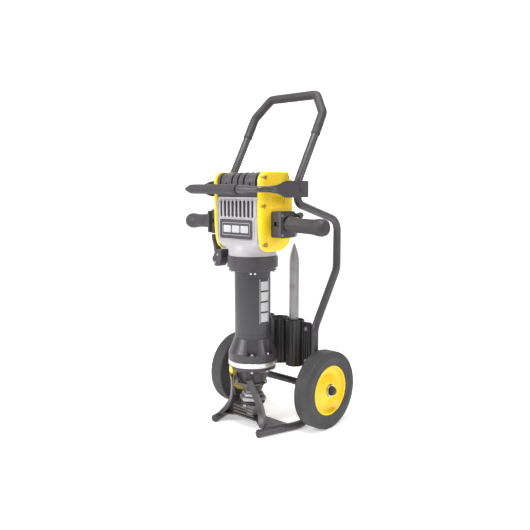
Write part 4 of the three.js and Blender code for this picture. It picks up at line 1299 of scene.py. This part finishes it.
def make_chuck():
    bottom, top = span_of("chuck_collar")

    def circle(r, z):
        return [polar(r, math.pi / 2 + a, z) for a in whole_turn(24)]

    outer = [circle(21.5, bottom), circle(23, bottom + 1.5), circle(23, 84)]
    for r, z in ((42, 84), (45, 86.5), (45, 95), (42.5, 98), (34.5, 98), (37, 99.6), (37, 107.6),
                 (35, 110), (28.6, 110), (28.6, top - 2), (27.5, top)):
        outer.append(hexagon(r, z, r * 0.1))
    inner = [circle(18, top), circle(18, bottom)]
    shape = lofted(outer + inner + [outer[0]], capped=False)
    piece("hexagon_chuck", shape, CHISEL_STEEL, "breaker", ["chuck_collar"], bevel=0.5)


LATCH_Z = 146
LATCH_AT = math.radians(250)


def bow(inner, outer, low, high, first, last, count=28):
    """A stretch of a flat ring between two angles."""
    angles = [first + (last - first) * k / count for k in range(count + 1)]
    outline = [(outer * math.cos(a), outer * math.sin(a)) for a in angles]
    outline += [(inner * math.cos(a), inner * math.sin(a)) for a in reversed(angles)]
    return prism(outline, low, high)


def make_retainer():
    z = LATCH_Z
    collar = ring(43.8, 47.2, z - 5, z + 1, 1.2, 96)
    front = bow(56, 62, z - 6, z + 6, -0.5, 0.85)
    spokes = [spun(block((45.5, -4, z - 5), (58, 4, z + 1)), angle) for angle in (-0.42, 0.77)]
    half = [(14, z - 5, 3), (13, z + 20, 8), (6, z + 34, 9)]
    tab = slab([(-14, z - 5, 3), *half, (-6, z + 34, 9), (-13, z + 20, 8)], 5, 55.6, 62.4, "x", 6)
    hole = spun(along_x(disc(6.8, 40, 80, 0, 48), 0, z + 20), LATCH_AT)
    whole = spun(joined(collar, front, tab, *spokes), LATCH_AT)
    piece("retainer_latch", whole, LATCH_STEEL, "retainer", ["bit_retainer"], bevel=1.3, cutters=[hole])


def make_socket():
    low, high = span_of("cradle_socket")
    body = turned([
        (24, low), (39, low, 1), (40, low + 6, 3), (38.2, low + 13, 3), (39.8, low + 19, 4),
        (38.6, low + 26, 3), (34.6, low + 30, 2), (34, low + 34, 2), (36, high - 3, 2),
        (35, high, 1), (24, high),
    ], 1, 96, 6)
    front = [block((-46, -44.4, low), (46, -24, high))]
    for k in range(4):
        z = low + 3 + 10.4 * k
        front.append(plank((-46.4, -46, 46.4, -42), 1.6, z, z + 5.4, steps=4))
    hole = disc(26, low - 5, high + 5, 0, 96)
    whole = joined(body, *front)
    piece("socket_block", whole, COAT, "trolley", ["cradle_socket"], bevel=1.0, cutters=[hole])
    bottom, top = span_of("socket_bumper")
    bumper = turned([
        (26, bottom), (37, bottom, 2), (40, bottom + 3, 2.5), (40, top - 3, 2.5), (36, top, 2),
        (26, top, 1.5),
    ], 1, 96, 6)
    piece("rubber_bumper", bumper, GRIP, "trolley", ["socket_bumper"], sharp=45)


# ---- the works inside keep their CAD shapes
INSIDE = {
    "stator": LAMINATIONS, "armature": MACHINED, "fan": DARK, "crank_gear": MACHINED,
    "connecting_rod": CHISEL_STEEL, "cylinder_sleeve": MACHINED, "piston": MACHINED, "ram": CHISEL_STEEL,
    "striker": CHISEL_STEEL,
}


def finish_inside():
    for name, material in INSIDE.items():
        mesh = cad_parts[name].data
        mesh.materials.clear()
        mesh.materials.append(material)


make_camera()
make_light_and_floor()
make_frame_tubes()
make_loop_grip()
make_axle()
make_deck()
make_cradle()
make_wheels()
make_pockets()
make_chisel()
make_hoop()
make_body()
make_cap()
make_covers()
make_handles()
make_lever()
make_inlet()
make_collar()
make_barrel()
make_flare()
make_nose()
make_chuck()
make_retainer()
make_socket()
finish_inside()
